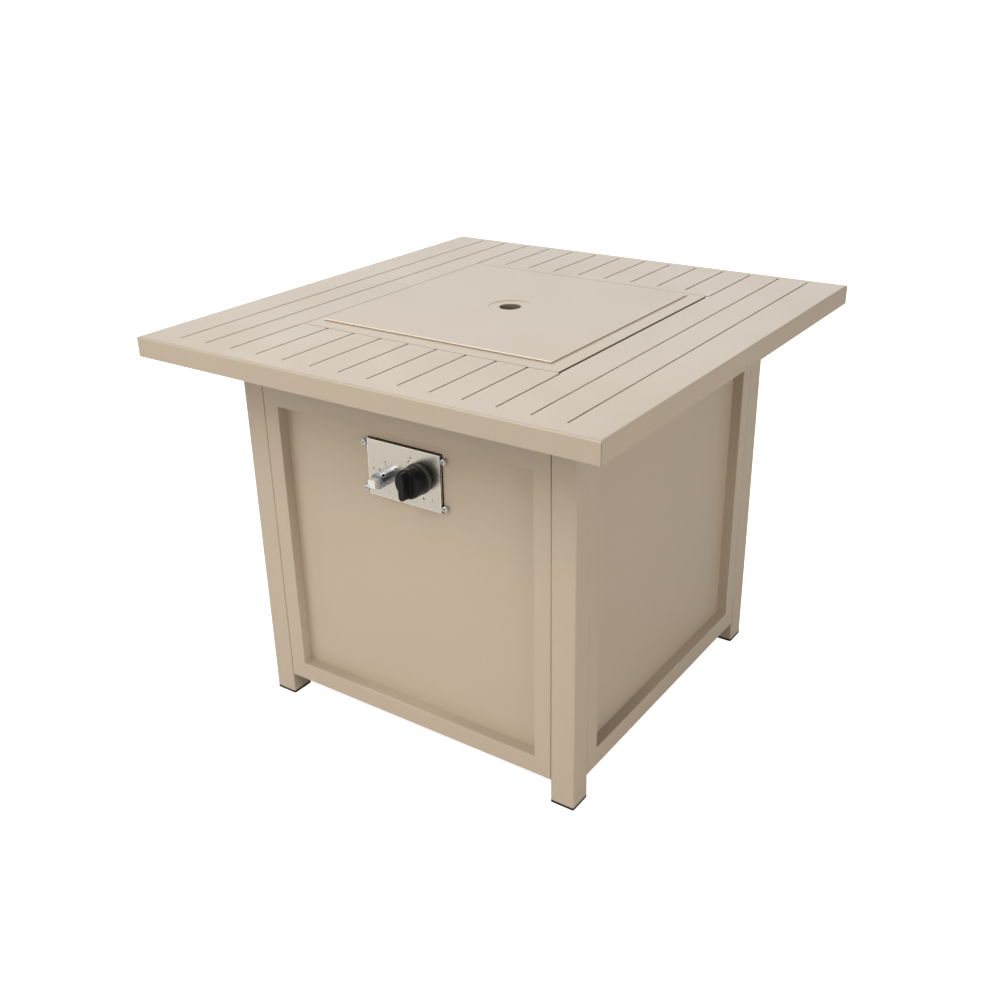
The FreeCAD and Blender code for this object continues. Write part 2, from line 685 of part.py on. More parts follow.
def pipe_path():
    """The gas pipe's centre line: up from the valve, then back to the mixer."""
    straight = -75.0
    points = [V(KNOB_X, VALVE_Y, OUTLET_Z), V(KNOB_X, VALVE_Y, PIPE_Z),
              V(0, straight, PIPE_Z), V(0, PIPE_END, PIPE_Z)]
    radii = [18.0, 90.0]
    edges = []
    start = points[0]
    for index, radius in enumerate(radii):
        before = points[index + 1] - points[index]
        after = points[index + 2] - points[index + 1]
        before.normalize()
        after.normalize()
        angle = before.getAngle(after)
        reach = radius * math.tan(angle / 2.0)
        enter = points[index + 1] - before * reach
        leave = points[index + 1] + after * reach
        inward = after - before
        inward.normalize()
        middle = points[index + 1] + inward * (radius / math.cos(angle / 2.0) - radius)
        edges.append(Part.LineSegment(start, enter).toShape())
        edges.append(Part.Arc(enter, middle, leave).toShape())
        start = leave
    edges.append(Part.LineSegment(start, points[-1]).toShape())
    return Part.Wire(edges)


def gas_pipe():
    """A bent metal pipe."""
    path = pipe_path()
    start = V(KNOB_X, VALVE_Y, OUTLET_Z)
    solids = []
    for radius in (PIPE_RADIUS, PIPE_RADIUS - 1.0):
        section = Part.Wire([Part.makeCircle(radius, start, V(0, 0, 1))])
        solids.append(path.makePipeShell([section], True, True))
    return solids[0].cut(solids[1])


def pipe_nuts():
    """Hexagon nuts at the two ends of the pipe."""
    flats = 17.0
    low = V(KNOB_X, VALVE_Y, OUTLET_Z)
    far = V(0, PIPE_END, PIPE_Z)
    valve_end = hex_nut(flats, PIPE_RADIUS, low, low + V(0, 0, 8.0))
    mixer_end = hex_nut(flats, PIPE_RADIUS, far, far - V(0, 10.0, 0))
    return Part.makeCompound([valve_end, mixer_end])


def electrode_bracket():
    """An angle bracket on the pan floor that holds the spark pin and the thermocouple."""
    floor = PAN_BOTTOM + PAN_SHEET
    sheet = 1.5
    half = 20.0
    back = -74.0
    foot = box(-half, half, back - 18.0, back, floor, floor + sheet)
    upright = box(-half, half, back - sheet, back, floor + sheet, floor + 24.0)
    holes = [rod_y(radius, x, PROBE_Z, back - sheet, back) for x, radius in PROBES]
    return join([foot, upright]).cut(Part.makeCompound(holes))


def probe(x, radius, tip):
    """A rod through the bracket that ends in a thin tip above the ring's tube."""
    front = -88.0
    body = rod_y(radius, x, PROBE_Z, front, -60.0)
    wire = rod(tip, V(x, front + 2.0, PROBE_Z), V(x, front - 16.0, PROBE_Z + 16.0))
    return join([body, wire])


def spark_electrode():
    """A ceramic rod with a wire tip."""
    return probe(*PROBES[0], 0.9)


def thermocouple():
    """The flame sensor beside the spark pin."""
    return probe(*PROBES[1], 1.6)


def screw_rods(radius, y0, y1):
    """One bar along Y at each of the four control screws."""
    return [rod_y(radius, x, z, y0, y1) for x, z in SCREW_PLACES]


def control_plate():
    """A shallow steel tray: its face stands out through the cut-out, its flange sits behind the sheet."""
    flange_half_x = 86.0
    flange_half_z = 50.0
    sheet = PANEL_SHEET
    flange = box(-flange_half_x, flange_half_x, -TUBE_BACK, -TUBE_BACK + sheet,
                 PLATE_Z - flange_half_z, PLATE_Z + flange_half_z)
    face = box(-PLATE_HALF_X, PLATE_HALF_X, -PLATE_FACE, -TUBE_BACK + sheet,
               PLATE_Z - PLATE_HALF_Z, PLATE_Z + PLATE_HALF_Z)
    hollow = box(-PLATE_HALF_X + sheet, PLATE_HALF_X - sheet, -PLATE_BACK, -TUBE_BACK + sheet,
                 PLATE_Z - PLATE_HALF_Z + sheet, PLATE_Z + PLATE_HALF_Z - sheet)
    plate = join([flange, face]).cut(hollow)
    holes = screw_rods(SCREW_RADIUS + 0.1, -TUBE_BACK, -TUBE_BACK + sheet)
    holes.append(rod_y(NECK_RADIUS + 0.2, KNOB_X, PLATE_Z, -PLATE_FACE, -PLATE_BACK))
    holes.append(rod_y(BARREL_RADIUS + 0.2, IGNITER_X, IGNITER_Z, -PLATE_FACE, -PLATE_BACK))
    return plate.cut(Part.makeCompound(holes))


def control_screws():
    """Four round cap screws with hexagon sockets."""
    seat = -PANEL_FACE
    front = seat - 6.5
    pieces = []
    for x, z in SCREW_PLACES:
        head = rod_y(4.9, x, z, front, seat)
        rim = [edge for edge in head.Edges if abs(edge.CenterOfMass.y - front) < 0.01]
        head = head.makeFillet(1.7, rim)
        shank = rod_y(SCREW_RADIUS, x, z, seat, -TUBE_BACK + 6.0)
        socket = hexagon(3.2, V(x, front - 1.0, z), V(x, front + 3.0, z))
        pieces.append(join([head, shank]).cut(socket))
    return Part.makeCompound(pieces)


def control_nuts():
    """The nuts behind the plate's flange."""
    back = -TUBE_BACK + PANEL_SHEET
    return Part.makeCompound([hex_nut(8.0, SCREW_RADIUS, V(x, back, z), V(x, back + 4.0, z))
                              for x, z in SCREW_PLACES])


def gas_valve():
    """The valve: a block, a bonnet with a threaded neck, an outlet on top and a flared inlet below."""
    x = KNOB_X
    z = PLATE_Z
    half = BLOCK_HALF
    bottom = INLET_Z - FLARE_HEIGHT
    outside = join([box(x - half, x + half, CHAMBER_BACK, BLOCK_BACK, z - half, z + half),
                    rod_y(11.0, x, z, -PLATE_BACK, CHAMBER_BACK),
                    rod_y(NECK_RADIUS, x, z, NECK_FRONT, -PLATE_BACK),
                    rod_z(8.0, x, VALVE_Y, z + half, OUTLET_Z),
                    rod_z(10.0, x, VALVE_Y, INLET_TOP, z - half),
                    rod_z(INLET_RADIUS, x, VALVE_Y, INLET_Z, INLET_TOP),
                    Part.makeCone(4.5, INLET_RADIUS, FLARE_HEIGHT, V(x, VALVE_Y, bottom))])
    passages = [rod_y(CHAMBER_RADIUS, x, z, CHAMBER_FRONT, CHAMBER_BACK),
                rod_y(STEM_RADIUS + RUNNING_GAP, x, z, NECK_FRONT, CHAMBER_FRONT),
                rod_z(4.0, x, VALVE_Y, z + 6, OUTLET_Z),
                rod_z(3.0, x, VALVE_Y, bottom, z - 6)]
    return outside.cut(Part.makeCompound(passages))


def valve_nut():
    """The thin nut that clamps the valve to the plate."""
    return hex_nut(19.0, NECK_RADIUS, V(KNOB_X, -PLATE_FACE - 3.0, PLATE_Z), V(KNOB_X, -PLATE_FACE, PLATE_Z))


def valve_plunger():
    """The collar that the stem pushes in against the valve's spring."""
    end = PLUNGER_FRONT + PLUNGER_LENGTH
    outside = rod_y(CHAMBER_RADIUS - RUNNING_GAP, KNOB_X, PLATE_Z, PLUNGER_FRONT, end)
    return outside.cut(rod_y(STEM_RADIUS + RUNNING_GAP, KNOB_X, PLATE_Z, PLUNGER_FRONT, end))


def knob_bezel():
    """The ring on the plate round the knob."""
    front = -PLATE_FACE - BEZEL_HEIGHT
    outside = rod_y(KNOB_RADIUS + 1.0, KNOB_X, PLATE_Z, front, -PLATE_FACE)
    rim = [edge for edge in outside.Edges if abs(edge.CenterOfMass.y - front) < 0.01]
    outside = outside.makeFillet(1.4, rim)
    return outside.cut(rod_y(12.5, KNOB_X, PLATE_Z, front, -PLATE_FACE))


def knob():
    """A round knob with a grooved skirt and a raised grip bar."""
    depth = KNOB_SHOULDER - KNOB_BACK
    groove = depth * 0.28
    rim = KNOB_RADIUS
    profile = [V(0, 0, 0), V(rim - 0.8, 0, 0), V(rim, -0.8, 0), V(rim, -groove, 0),
               V(rim - 1.2, -groove - 0.6, 0), V(rim - 1.2, -groove - 1.5, 0), V(rim, -groove - 2.1, 0),
               V(rim - 0.4, -depth + 3.0, 0), V(rim - 1.4, -depth + 0.9, 0), V(rim - 3.2, -depth, 0),
               V(0, -depth, 0)]
    face = Part.Face(Part.makePolygon(profile + [profile[0]]))
    body = face.revolve(V(0, 0, 0), V(0, 1, 0), 360)
    body.translate(V(KNOB_X, -KNOB_BACK, PLATE_Z))
    grip_root = 6.8
    grip_nose = 4.8
    section = [V(-grip_root, -KNOB_SHOULDER, 0), V(grip_root, -KNOB_SHOULDER, 0),
               V(grip_nose, -KNOB_NOSE, 0), V(-grip_nose, -KNOB_NOSE, 0)]
    bar = Part.Face(Part.makePolygon(section + [section[0]])).extrude(V(0, 0, 2.0 * KNOB_RADIUS))
    bar.translate(V(KNOB_X, 0, PLATE_Z - KNOB_RADIUS))
    ends = Part.makeCone(KNOB_RADIUS - 1.4, KNOB_RADIUS - 2.2, KNOB_NOSE - KNOB_SHOULDER,
                         V(KNOB_X, -KNOB_SHOULDER, PLATE_Z), V(0, -1, 0))
    bar = bar.common(ends)
    bore = rod_y(STEM_RADIUS, KNOB_X, PLATE_Z, -KNOB_SHOULDER, -KNOB_BACK)
    return join([body, bar]).cut(bore)


def valve_stem():
    """The stem from the knob into the valve, with a flat on its front end."""
    stem = rod_y(STEM_RADIUS, KNOB_X, PLATE_Z, -KNOB_SHOULDER, STEM_END)
    flat = box(KNOB_X - 5, KNOB_X + 5, -KNOB_SHOULDER, -KNOB_BACK, PLATE_Z + 3.0, PLATE_Z + 5.0)
    return stem.cut(flat)


def igniter_body():
    """The igniter's round collar, the threaded barrel behind the plate and the button's guide."""
    x = IGNITER_X
    z = IGNITER_Z
    collar = rod_y(COLLAR_RADIUS, x, z, COLLAR_FRONT, -PLATE_FACE)
    lip = [edge for edge in collar.Edges if abs(edge.CenterOfMass.y - COLLAR_FRONT) < 0.01]
    collar = collar.makeFillet(1.2, lip)
    barrel = rod_y(BARREL_RADIUS, x, z, -PLATE_FACE, BARREL_BACK)
    cap = rod_y(BARREL_RADIUS + 1.0, x, z, BARREL_BACK - 8.0, BARREL_BACK + 2.0)
    half_x = BUTTON_HALF_X + BUTTON_SLACK
    half_z = BUTTON_HALF_Z + BUTTON_SLACK
    guide_end = -PLATE_FACE - 1.5
    guide = box(x - half_x, x + half_x, COLLAR_FRONT, guide_end, z - half_z, z + half_z)
    chamber = rod_y(6.6, x, z, guide_end, CHAMBER_BACK)
    window = box(x - 1.2, x + 1.2, COLLAR_FRONT + 3.0, COLLAR_FRONT + 12.0, z + 8.0, z + 13.0)
    window.rotate(V(x, 0, z), V(0, 1, 0), 35.0)
    return join([collar, barrel, cap]).cut(guide).cut(chamber).cut(window)


def igniter_nut():
    """The nut that clamps the igniter behind the plate."""
    start = V(IGNITER_X, -PLATE_BACK, IGNITER_Z)
    return hex_nut(26.0, BARREL_RADIUS, start, start + V(0, 4.0, 0))


def igniter_button():
    """The push button: a rounded block that slides in the collar."""
    back = BUTTON_FRONT + BUTTON_LENGTH
    block = box(IGNITER_X - BUTTON_HALF_X, IGNITER_X + BUTTON_HALF_X, BUTTON_FRONT, back,
                IGNITER_Z - BUTTON_HALF_Z, IGNITER_Z + BUTTON_HALF_Z)
    along = [edge for edge in block.Edges if abs(edge.tangentAt(edge.FirstParameter).y) > 0.99]
    block = block.makeFillet(1.6, along)
    lip = [edge for edge in block.Edges if abs(edge.CenterOfMass.y - BUTTON_FRONT) < 0.01]
    return block.makeFillet(0.8, lip)


def coil_spring(radius, wire, start_y, length, turns, x, z):
    """A coil spring along Y."""
    helix = Part.makeLongHelix(length / turns, length, radius)
    section = Part.Wire([Part.makeCircle(wire, V(radius, 0, 0), V(0, 1, 0))])
    spring = Part.Wire(helix.Edges).makePipeShell([section], True, True)
    spring.rotate(V(0, 0, 0), V(1, 0, 0), -90)
    spring.translate(V(x, start_y, z))
    return spring


def igniter_spring():
    """The return spring behind the button."""
    start = BUTTON_FRONT + BUTTON_LENGTH + 0.9
    return coil_spring(4.6, 0.5, start, 31.0, 9, IGNITER_X, IGNITER_Z)


def valve_spring():
    """The return spring behind the plunger."""
    start = PLUNGER_FRONT + PLUNGER_LENGTH + 0.7
    return coil_spring(5.6, 0.5, start, 13.6, 5, KNOB_X, PLATE_Z)


def build():
    """Every sub-part by name."""
    frame = side_frame()
    panel = plain_panel()
    corners = [(-1, -1), (1, -1), (1, 1), (-1, 1)]
    places = ["front_left", "front_right", "back_right", "back_left"]
    nodes = {"leg_" + place: leg(*corner) for place, corner in zip(places, corners)}
    nodes["foot_caps"] = Part.makeCompound([foot_cap(*corner) for corner in corners])
    nodes["front_frame"] = frame
    nodes["right_frame"] = turned(frame, 90.0)
    nodes["left_frame"] = turned(frame, -90.0)
    nodes["front_panel"] = control_panel()
    nodes["right_panel"] = turned(panel, 90.0)
    nodes["left_panel"] = turned(panel, -90.0)
    nodes["back_rail_bottom"] = back_rail(RAIL_BOTTOM, RAIL_LOW_TOP)
    nodes["back_rail_top"] = back_rail(RAIL_HIGH_BOTTOM, BASE_TOP)
    nodes["top_beam_left"] = top_beam(-1.0)
    nodes["top_beam_right"] = top_beam(1.0)
    makers = [corner_gussets, top_bolts, tank_tray, door_frame, door_sheet, hinge_leaves, door_leaves,
              hinge_pins, door_pull, door_magnet, door_strike, table_top, slat_bars, frame_seats,
              burner_frame, lid, lid_tabs, lid_stiffeners, lid_pads, burner_pan, pan_walls, burner_ring,
              burner_stub, pan_locknut, air_mixer, gas_pipe, pipe_nuts, electrode_bracket, spark_electrode,
              thermocouple, control_plate, control_screws, control_nuts, gas_valve, valve_nut,
              valve_plunger, valve_spring, valve_stem, knob_bezel, knob, igniter_body, igniter_nut,
              igniter_button, igniter_spring]
    for maker in makers:
        nodes[maker.__name__] = maker()
    return nodes


os.makedirs("parts", exist_ok=True)
for name, shape in build().items():
    solids = shape.Solids
    print(name, len(solids), "valid" if shape.isValid() else "NOT VALID", round(shape.Volume))
    shape.exportStep("parts/" + name + ".step")
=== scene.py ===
import json
import math

import bmesh
import bpy
import numpy as np
from mathutils import Matrix, Vector


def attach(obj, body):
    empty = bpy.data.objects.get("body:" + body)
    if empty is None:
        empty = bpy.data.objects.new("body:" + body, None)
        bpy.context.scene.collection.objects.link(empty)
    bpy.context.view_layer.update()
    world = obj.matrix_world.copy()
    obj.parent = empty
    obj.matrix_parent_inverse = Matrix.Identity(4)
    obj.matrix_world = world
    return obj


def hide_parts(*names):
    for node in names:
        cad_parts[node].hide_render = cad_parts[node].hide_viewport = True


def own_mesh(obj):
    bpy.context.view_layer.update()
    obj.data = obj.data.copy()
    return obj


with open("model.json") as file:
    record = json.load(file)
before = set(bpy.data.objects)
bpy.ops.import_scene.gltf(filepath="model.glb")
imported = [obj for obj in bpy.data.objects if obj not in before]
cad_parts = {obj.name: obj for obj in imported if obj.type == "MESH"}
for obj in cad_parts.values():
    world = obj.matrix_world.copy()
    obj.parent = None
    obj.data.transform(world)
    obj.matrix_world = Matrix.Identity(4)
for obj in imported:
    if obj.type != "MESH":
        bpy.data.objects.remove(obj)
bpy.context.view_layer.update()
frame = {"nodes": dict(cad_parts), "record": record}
scene = bpy.context.scene
mm = 0.001
print("frame loaded:", len(frame["nodes"]), "nodes")


# ways of making a surface

def rectLoops(x0, x1, y0, y1, radius, arc=4, between=0):
    # each row is a rectangle with rounded corners: corner centre plus radius times (cosine, sine)
    x0, x1, y0, y1, radius = np.broadcast_arrays(*[np.atleast_1d(np.asarray(v, float))
                                                   for v in (x0, x1, y0, y1, radius)])
    radius = np.clip(radius, 0, np.maximum(np.minimum(x1 - x0, y1 - y0) / 2, 0))
    angle = np.arange(4)[:, None] * np.pi / 2 + np.linspace(0, np.pi / 2, arc + 1)
    sign = np.array([[1, 1], [-1, 1], [-1, -1], [1, -1]], float)[:, None, :]
    middle = np.stack([(x0 + x1) / 2, (y0 + y1) / 2], -1)[:, None, None, :]
    half = np.stack([(x1 - x0) / 2 - radius, (y1 - y0) / 2 - radius], -1)[:, None, None, :]
    turn = np.stack([np.cos(angle), np.sin(angle)], -1)
    corners = middle + sign * half + radius[:, None, None, None] * turn
    if between:
        share = np.linspace(0, 1, between + 2)[1:-1][:, None]
        start = corners[:, :, -1:, :]
        end = np.roll(corners[:, :, :1, :], -1, axis=1)
        corners = np.concatenate([corners, start + (end - start) * share], axis=2)
    return corners.reshape(len(x0), -1, 2)


def softOutline(corners, radii, arc=4, closed=True):
    # every corner of a flat outline becomes an arc that touches both of its sides
    here = np.asarray(corners, float)
    radii = np.broadcast_to(np.asarray(radii, float), len(here))
    toLast = np.roll(here, 1, axis=0) - here
    toNext = np.roll(here, -1, axis=0) - here
    if not closed:
        toLast[0], toNext[-1] = -toNext[0], -toLast[-1]
    toLast /= np.linalg.norm(toLast, axis=1)[:, None]
    toNext /= np.linalg.norm(toNext, axis=1)[:, None]
    half = np.arccos(np.clip((toLast * toNext).sum(1), -1, 1)) / 2
    straight = (radii < 1e-9) | (half > 1.57)
    half = np.where(straight, 0.7, half)
    inward = np.where(straight[:, None], 1.0, toLast + toNext)
    inward = inward / np.linalg.norm(inward, axis=1)[:, None]
    centre = here + inward * (radii / np.sin(half))[:, None]
    enter = here + toLast * (radii / np.tan(half))[:, None] - centre
    leave = here + toNext * (radii / np.tan(half))[:, None] - centre
    sweep = (np.pi - 2 * half)[:, None, None]
    share = np.linspace(0, 1, arc + 1)[None, :, None]
    points = centre[:, None] + (np.sin((1 - share) * sweep) * enter[:, None]
                                + np.sin(share * sweep) * leave[:, None]) / np.sin(sweep)
    points = np.where(straight[:, None, None], here[:, None], points)
    return points.reshape(-1, 2)


def spun(profile, centre, axis, columns=64):
    # a profile of (radius, height) turned about an axis: centre + radius (cosine, sine) + height along
    # the axis
    profile = np.asarray(profile, float)
    angle = np.arange(columns) * 2 * np.pi / columns
    side, up = {"y": ((1, 0, 0), (0, 0, 1)), "z": ((1, 0, 0), (0, 1, 0))}[axis[-1]]
    along = np.array({"-y": (0, -1, 0), "+y": (0, 1, 0), "+z": (0, 0, 1), "-z": (0, 0, -1)}[axis], float)
    ring = np.cos(angle)[:, None] * np.array(side, float) + np.sin(angle)[:, None] * np.array(up, float)
    return np.array(centre, float) + profile[:, 0, None, None] * ring + profile[:, 1, None, None] * along


def upright(loops, heights):
    # flat loops in X and Y, each at its own height
    heights = np.broadcast_to(np.asarray(heights, float)[:, None, None], loops.shape[:2] + (1,))
    return np.concatenate([loops, heights], axis=2)


def facing(loops, depths, wall="front"):
    # flat loops in X and Z at their own depth, then turned about the upright axis to the wall they
    # belong to
    depths = np.broadcast_to(np.asarray(depths, float)[:, None], loops.shape[:2])
    points = np.stack([loops[..., 0], depths, loops[..., 1]], -1)
    turns = {"front": 0, "right": 90, "back": 180, "left": 270}[wall]
    c, s = round(math.cos(math.radians(turns))), round(math.sin(math.radians(turns)))
    return np.stack([c * points[..., 0] - s * points[..., 1], s * points[..., 0] + c * points[..., 1],
                     points[..., 2]], -1)


def closedEnds(points):
    # a shell's first and last loops are drawn together into their middles
    first = np.broadcast_to(points[0].mean(0), points[0].shape)[None]
    last = np.broadcast_to(points[-1].mean(0), points[-1].shape)[None]
    return np.concatenate([first, points, last])


def shellFaces(points, ring):
    # neighbouring loops joined by four-sided faces; a ring's last loop joins its first
    index = np.arange(points.shape[0] * points.shape[1]).reshape(points.shape[:2])
    faces = np.stack([index, np.roll(index, -1, 1), np.roll(np.roll(index, -1, 1), -1, 0),
                      np.roll(index, -1, 0)], -1)
    return (faces if ring else faces[:-1]).reshape(-1, 4)


def addPiece(name, shells, body, material, nodes=()):
    # shells are (points, ring); they become one mesh with its doubles merged and its faces turned
    # outwards
    allPoints, allFaces, count = [], [], 0
    for points, ring in shells:
        allPoints.append(points.reshape(-1, 3))
        allFaces.append(shellFaces(points, ring) + count)
        count += allPoints[-1].shape[0]
    mesh = bpy.data.meshes.new(name)
    mesh.from_pydata(np.concatenate(allPoints).tolist(), [], np.concatenate(allFaces).tolist())
    work = bmesh.new()
    work.from_mesh(mesh)
    bmesh.ops.remove_doubles(work, verts=work.verts, dist=2e-6)
    bmesh.ops.dissolve_degenerate(work, edges=work.edges, dist=1e-6)
    bmesh.ops.recalc_face_normals(work, faces=work.faces)
    work.to_mesh(mesh)
    work.free()
    mesh.shade_smooth()
    mesh.materials.append(material)
    piece = bpy.data.objects.new(name, mesh)
    scene.collection.objects.link(piece)
    weighted = piece.modifiers.new("evenNormals", "WEIGHTED_NORMAL")
    weighted.weight = 90
    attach(piece, body)
    if nodes:
        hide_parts(*nodes)
    return piece


# node groups: each effect is built once and placed with its own values

def makeGroup(name, inputs, outputs, build):
    # inputs are (label, kind, value), outputs (label, kind); build adds the nodes between them
    group = bpy.data.node_groups.new(name, "ShaderNodeTree")
    for label, kind, value in inputs:
        socket = group.interface.new_socket(label, in_out="INPUT", socket_type=kind)
        socket.default_value = value
    for label, kind in outputs:
        group.interface.new_socket(label, in_out="OUTPUT", socket_type=kind)
    build(group.nodes, group.links, group.nodes.new("NodeGroupInput").outputs,
          group.nodes.new("NodeGroupOutput").inputs)
    return group


def buildGrain(nodes, links, given, put):
    # orange peel plus a finer tooth, in Object coordinates: broad noise x 0.6 + fine noise x 0.4
    place = nodes.new("ShaderNodeTexCoord")
    broad = nodes.new("ShaderNodeTexNoise")
    fine = nodes.new("ShaderNodeTexNoise")
    finer = nodes.new("ShaderNodeMath")
    mix = nodes.new("ShaderNodeMix")
    finer.operation = "MULTIPLY"
    finer.inputs[1].default_value = 3.7
    broad.inputs["Detail"].default_value = 1.0
    fine.inputs["Detail"].default_value = 2.0
    mix.inputs[0].default_value = 0.4
    links.new(given["Scale"], broad.inputs["Scale"])
    links.new(given["Scale"], finer.inputs[0])
    links.new(finer.outputs[0], fine.inputs["Scale"])
    for noise in (broad, fine):
        links.new(place.outputs["Object"], noise.inputs["Vector"])
    links.new(broad.outputs[0], mix.inputs[2])
    links.new(fine.outputs[0], mix.inputs[3])
    links.new(mix.outputs[0], put["Height"])


def buildMottle(nodes, links, given, put):
    # a slow change from 0 to 1 over the surface: two noises, the second bent by the first
    place = nodes.new("ShaderNodeTexCoord")
    noise = nodes.new("ShaderNodeTexNoise")
    spread = nodes.new("ShaderNodeMapRange")
    noise.inputs["Detail"].default_value = 3.0
    noise.inputs["Distortion"].default_value = 0.6
    spread.inputs["From Min"].default_value = 0.35
    spread.inputs["From Max"].default_value = 0.65
    links.new(place.outputs["Object"], noise.inputs["Vector"])
    links.new(given["Scale"], noise.inputs["Scale"])
    links.new(noise.outputs[0], spread.inputs["Value"])
    links.new(spread.outputs[0], put["Mask"])


def buildBrush(nodes, links, given, put):
    # long scratches: noise squeezed hard across one direction
    place = nodes.new("ShaderNodeTexCoord")
    squeeze = nodes.new("ShaderNodeVectorMath")
    noise = nodes.new("ShaderNodeTexNoise")
    squeeze.operation = "MULTIPLY"
    noise.inputs["Scale"].default_value = 1.0
    noise.inputs["Detail"].default_value = 4.0
    noise.inputs["Roughness"].default_value = 0.65
    links.new(place.outputs["Object"], squeeze.inputs[0])
    links.new(given["Stretch"], squeeze.inputs[1])
    links.new(squeeze.outputs[0], noise.inputs["Vector"])
    links.new(noise.outputs[0], put["Lines"])


def buildDust(nodes, links, given, put):
    # a film where the surface looks up, broken by noise: max(normal Z, 0) x noise x amount
    facingUp = nodes.new("ShaderNodeNewGeometry")
    split = nodes.new("ShaderNodeSeparateXYZ")
    place = nodes.new("ShaderNodeTexCoord")
    noise = nodes.new("ShaderNodeTexNoise")
    broken = nodes.new("ShaderNodeMath")
    amount = nodes.new("ShaderNodeMath")
    noise.inputs["Scale"].default_value = 14.0
    noise.inputs["Detail"].default_value = 6.0
    broken.operation = "MULTIPLY"
    broken.use_clamp = True
    amount.operation = "MULTIPLY"
    amount.use_clamp = True
    links.new(facingUp.outputs["Normal"], split.inputs[0])
    links.new(place.outputs["Object"], noise.inputs["Vector"])
    links.new(split.outputs["Z"], broken.inputs[0])
    links.new(noise.outputs[0], broken.inputs[1])
    links.new(broken.outputs[0], amount.inputs[0])
    links.new(given["Amount"], amount.inputs[1])
    links.new(amount.outputs[0], put["Mask"])


def boxReach(nodes, links, given):
    # how far a point is outside a box on each axis, as 0 or 1: absolute value compared with the half
    # size
    place = nodes.new("ShaderNodeTexCoord")
    shift = nodes.new("ShaderNodeVectorMath")
    size = nodes.new("ShaderNodeVectorMath")
    parts = nodes.new("ShaderNodeSeparateXYZ")
    limits = nodes.new("ShaderNodeSeparateXYZ")
    shift.operation = "SUBTRACT"
    size.operation = "ABSOLUTE"
    links.new(place.outputs["Object"], shift.inputs[0])
    links.new(given["Centre"], shift.inputs[1])
    links.new(shift.outputs[0], size.inputs[0])
    links.new(size.outputs[0], parts.inputs[0])
    links.new(given["Half Size"], limits.inputs[0])
    over = []
    for axis in ("X", "Y", "Z"):
        compare = nodes.new("ShaderNodeMath")
        compare.operation = "GREATER_THAN"
        links.new(parts.outputs[axis], compare.inputs[0])
        links.new(limits.outputs[axis], compare.inputs[1])
        over.append(compare.outputs[0])
    return over


def joinMasks(nodes, links, operation, masks):
    # the masks taken two by two through one operation, such as the larger or the smaller
    result = masks[0]
    for mask in masks[1:]:
        step = nodes.new("ShaderNodeMath")
        step.operation = operation
        links.new(result, step.inputs[0])
        links.new(mask, step.inputs[1])
        result = step.outputs[0]
    return result


def buildInside(nodes, links, given, put):
    # 1 inside the box, 0 outside it: 1 - largest of the three overs
    turned = nodes.new("ShaderNodeMath")
    turned.operation = "SUBTRACT"
    turned.inputs[0].default_value = 1.0
    links.new(joinMasks(nodes, links, "MAXIMUM", boxReach(nodes, links, given)), turned.inputs[1])
    links.new(turned.outputs[0], put["Mask"])


def buildCorners(nodes, links, given, put):
    # 1 where X and Y are both over the box's half size, as along its upright edges
    over = boxReach(nodes, links, given)
    links.new(joinMasks(nodes, links, "MINIMUM", over[:2]), put["Mask"])


def buildRim(nodes, links, given, put):
    # 1 where X or Z is over the box's half size, as along the edge of a face
    over = boxReach(nodes, links, given)
    links.new(joinMasks(nodes, links, "MAXIMUM", [over[0], over[2]]), put["Mask"])


def buildSides(nodes, links, given, put):
    # 1 where X or Y is over the box's half size, as along a lid's folded rim
    over = boxReach(nodes, links, given)
    links.new(joinMasks(nodes, links, "MAXIMUM", over[:2]), put["Mask"])


def buildRoll(nodes, links, given, put):
    # 1 where X or Y, and Z too, are over the box's half size, as on a rolled top edge
    over = boxReach(nodes, links, given)
    sides = joinMasks(nodes, links, "MAXIMUM", over[:2])
    links.new(joinMasks(nodes, links, "MINIMUM", [sides, over[2]]), put["Mask"])


def buildTurnedAway(nodes, links, given, put):
    # 1 on faces that don't look to the front: normal Y above the limit
    facingFront = nodes.new("ShaderNodeNewGeometry")
    split = nodes.new("ShaderNodeSeparateXYZ")
    compare = nodes.new("ShaderNodeMath")
    compare.operation = "GREATER_THAN"
    links.new(facingFront.outputs["Normal"], split.inputs[0])
    links.new(split.outputs["Y"], compare.inputs[0])
    links.new(given["Limit"], compare.inputs[1])
    links.new(compare.outputs[0], put["Mask"])


number, vector = "NodeSocketFloat", "NodeSocketVector"
grainGroup = makeGroup("surfaceGrain", [("Scale", number, 900.0)], [("Height", number)], buildGrain)
mottleGroup = makeGroup("slowMottle", [("Scale", number, 6.0)], [("Mask", number)], buildMottle)
brushGroup = makeGroup("brushLines", [("Stretch", vector, (8.0, 8.0, 2500.0))], [("Lines", number)],
                       buildBrush)
placeSockets = [("Centre", vector, (0.0, 0.0, 0.0)), ("Half Size", vector, (1.0, 1.0, 1.0))]
insideGroup = makeGroup("insideBox", placeSockets, [("Mask", number)], buildInside)
cornerGroup = makeGroup("uprightEdges", placeSockets, [("Mask", number)], buildCorners)
rimGroup = makeGroup("faceRim", placeSockets, [("Mask", number)], buildRim)
sidesGroup = makeGroup("sideRim", placeSockets, [("Mask", number)], buildSides)
rollGroup = makeGroup("rolledEdge", placeSockets, [("Mask", number)], buildRoll)
awayGroup = makeGroup("turnedAway", [("Limit", number, -0.6)], [("Mask", number)], buildTurnedAway)
dustGroup = makeGroup("dustFilm", [("Amount", number, 0.3)], [("Mask", number)], buildDust)


def placeGroup(tree, group, **values):
    node = tree.nodes.new("ShaderNodeGroup")
    node.node_tree = group
    for label, value in values.items():
        node.inputs[label].default_value = value
    return node


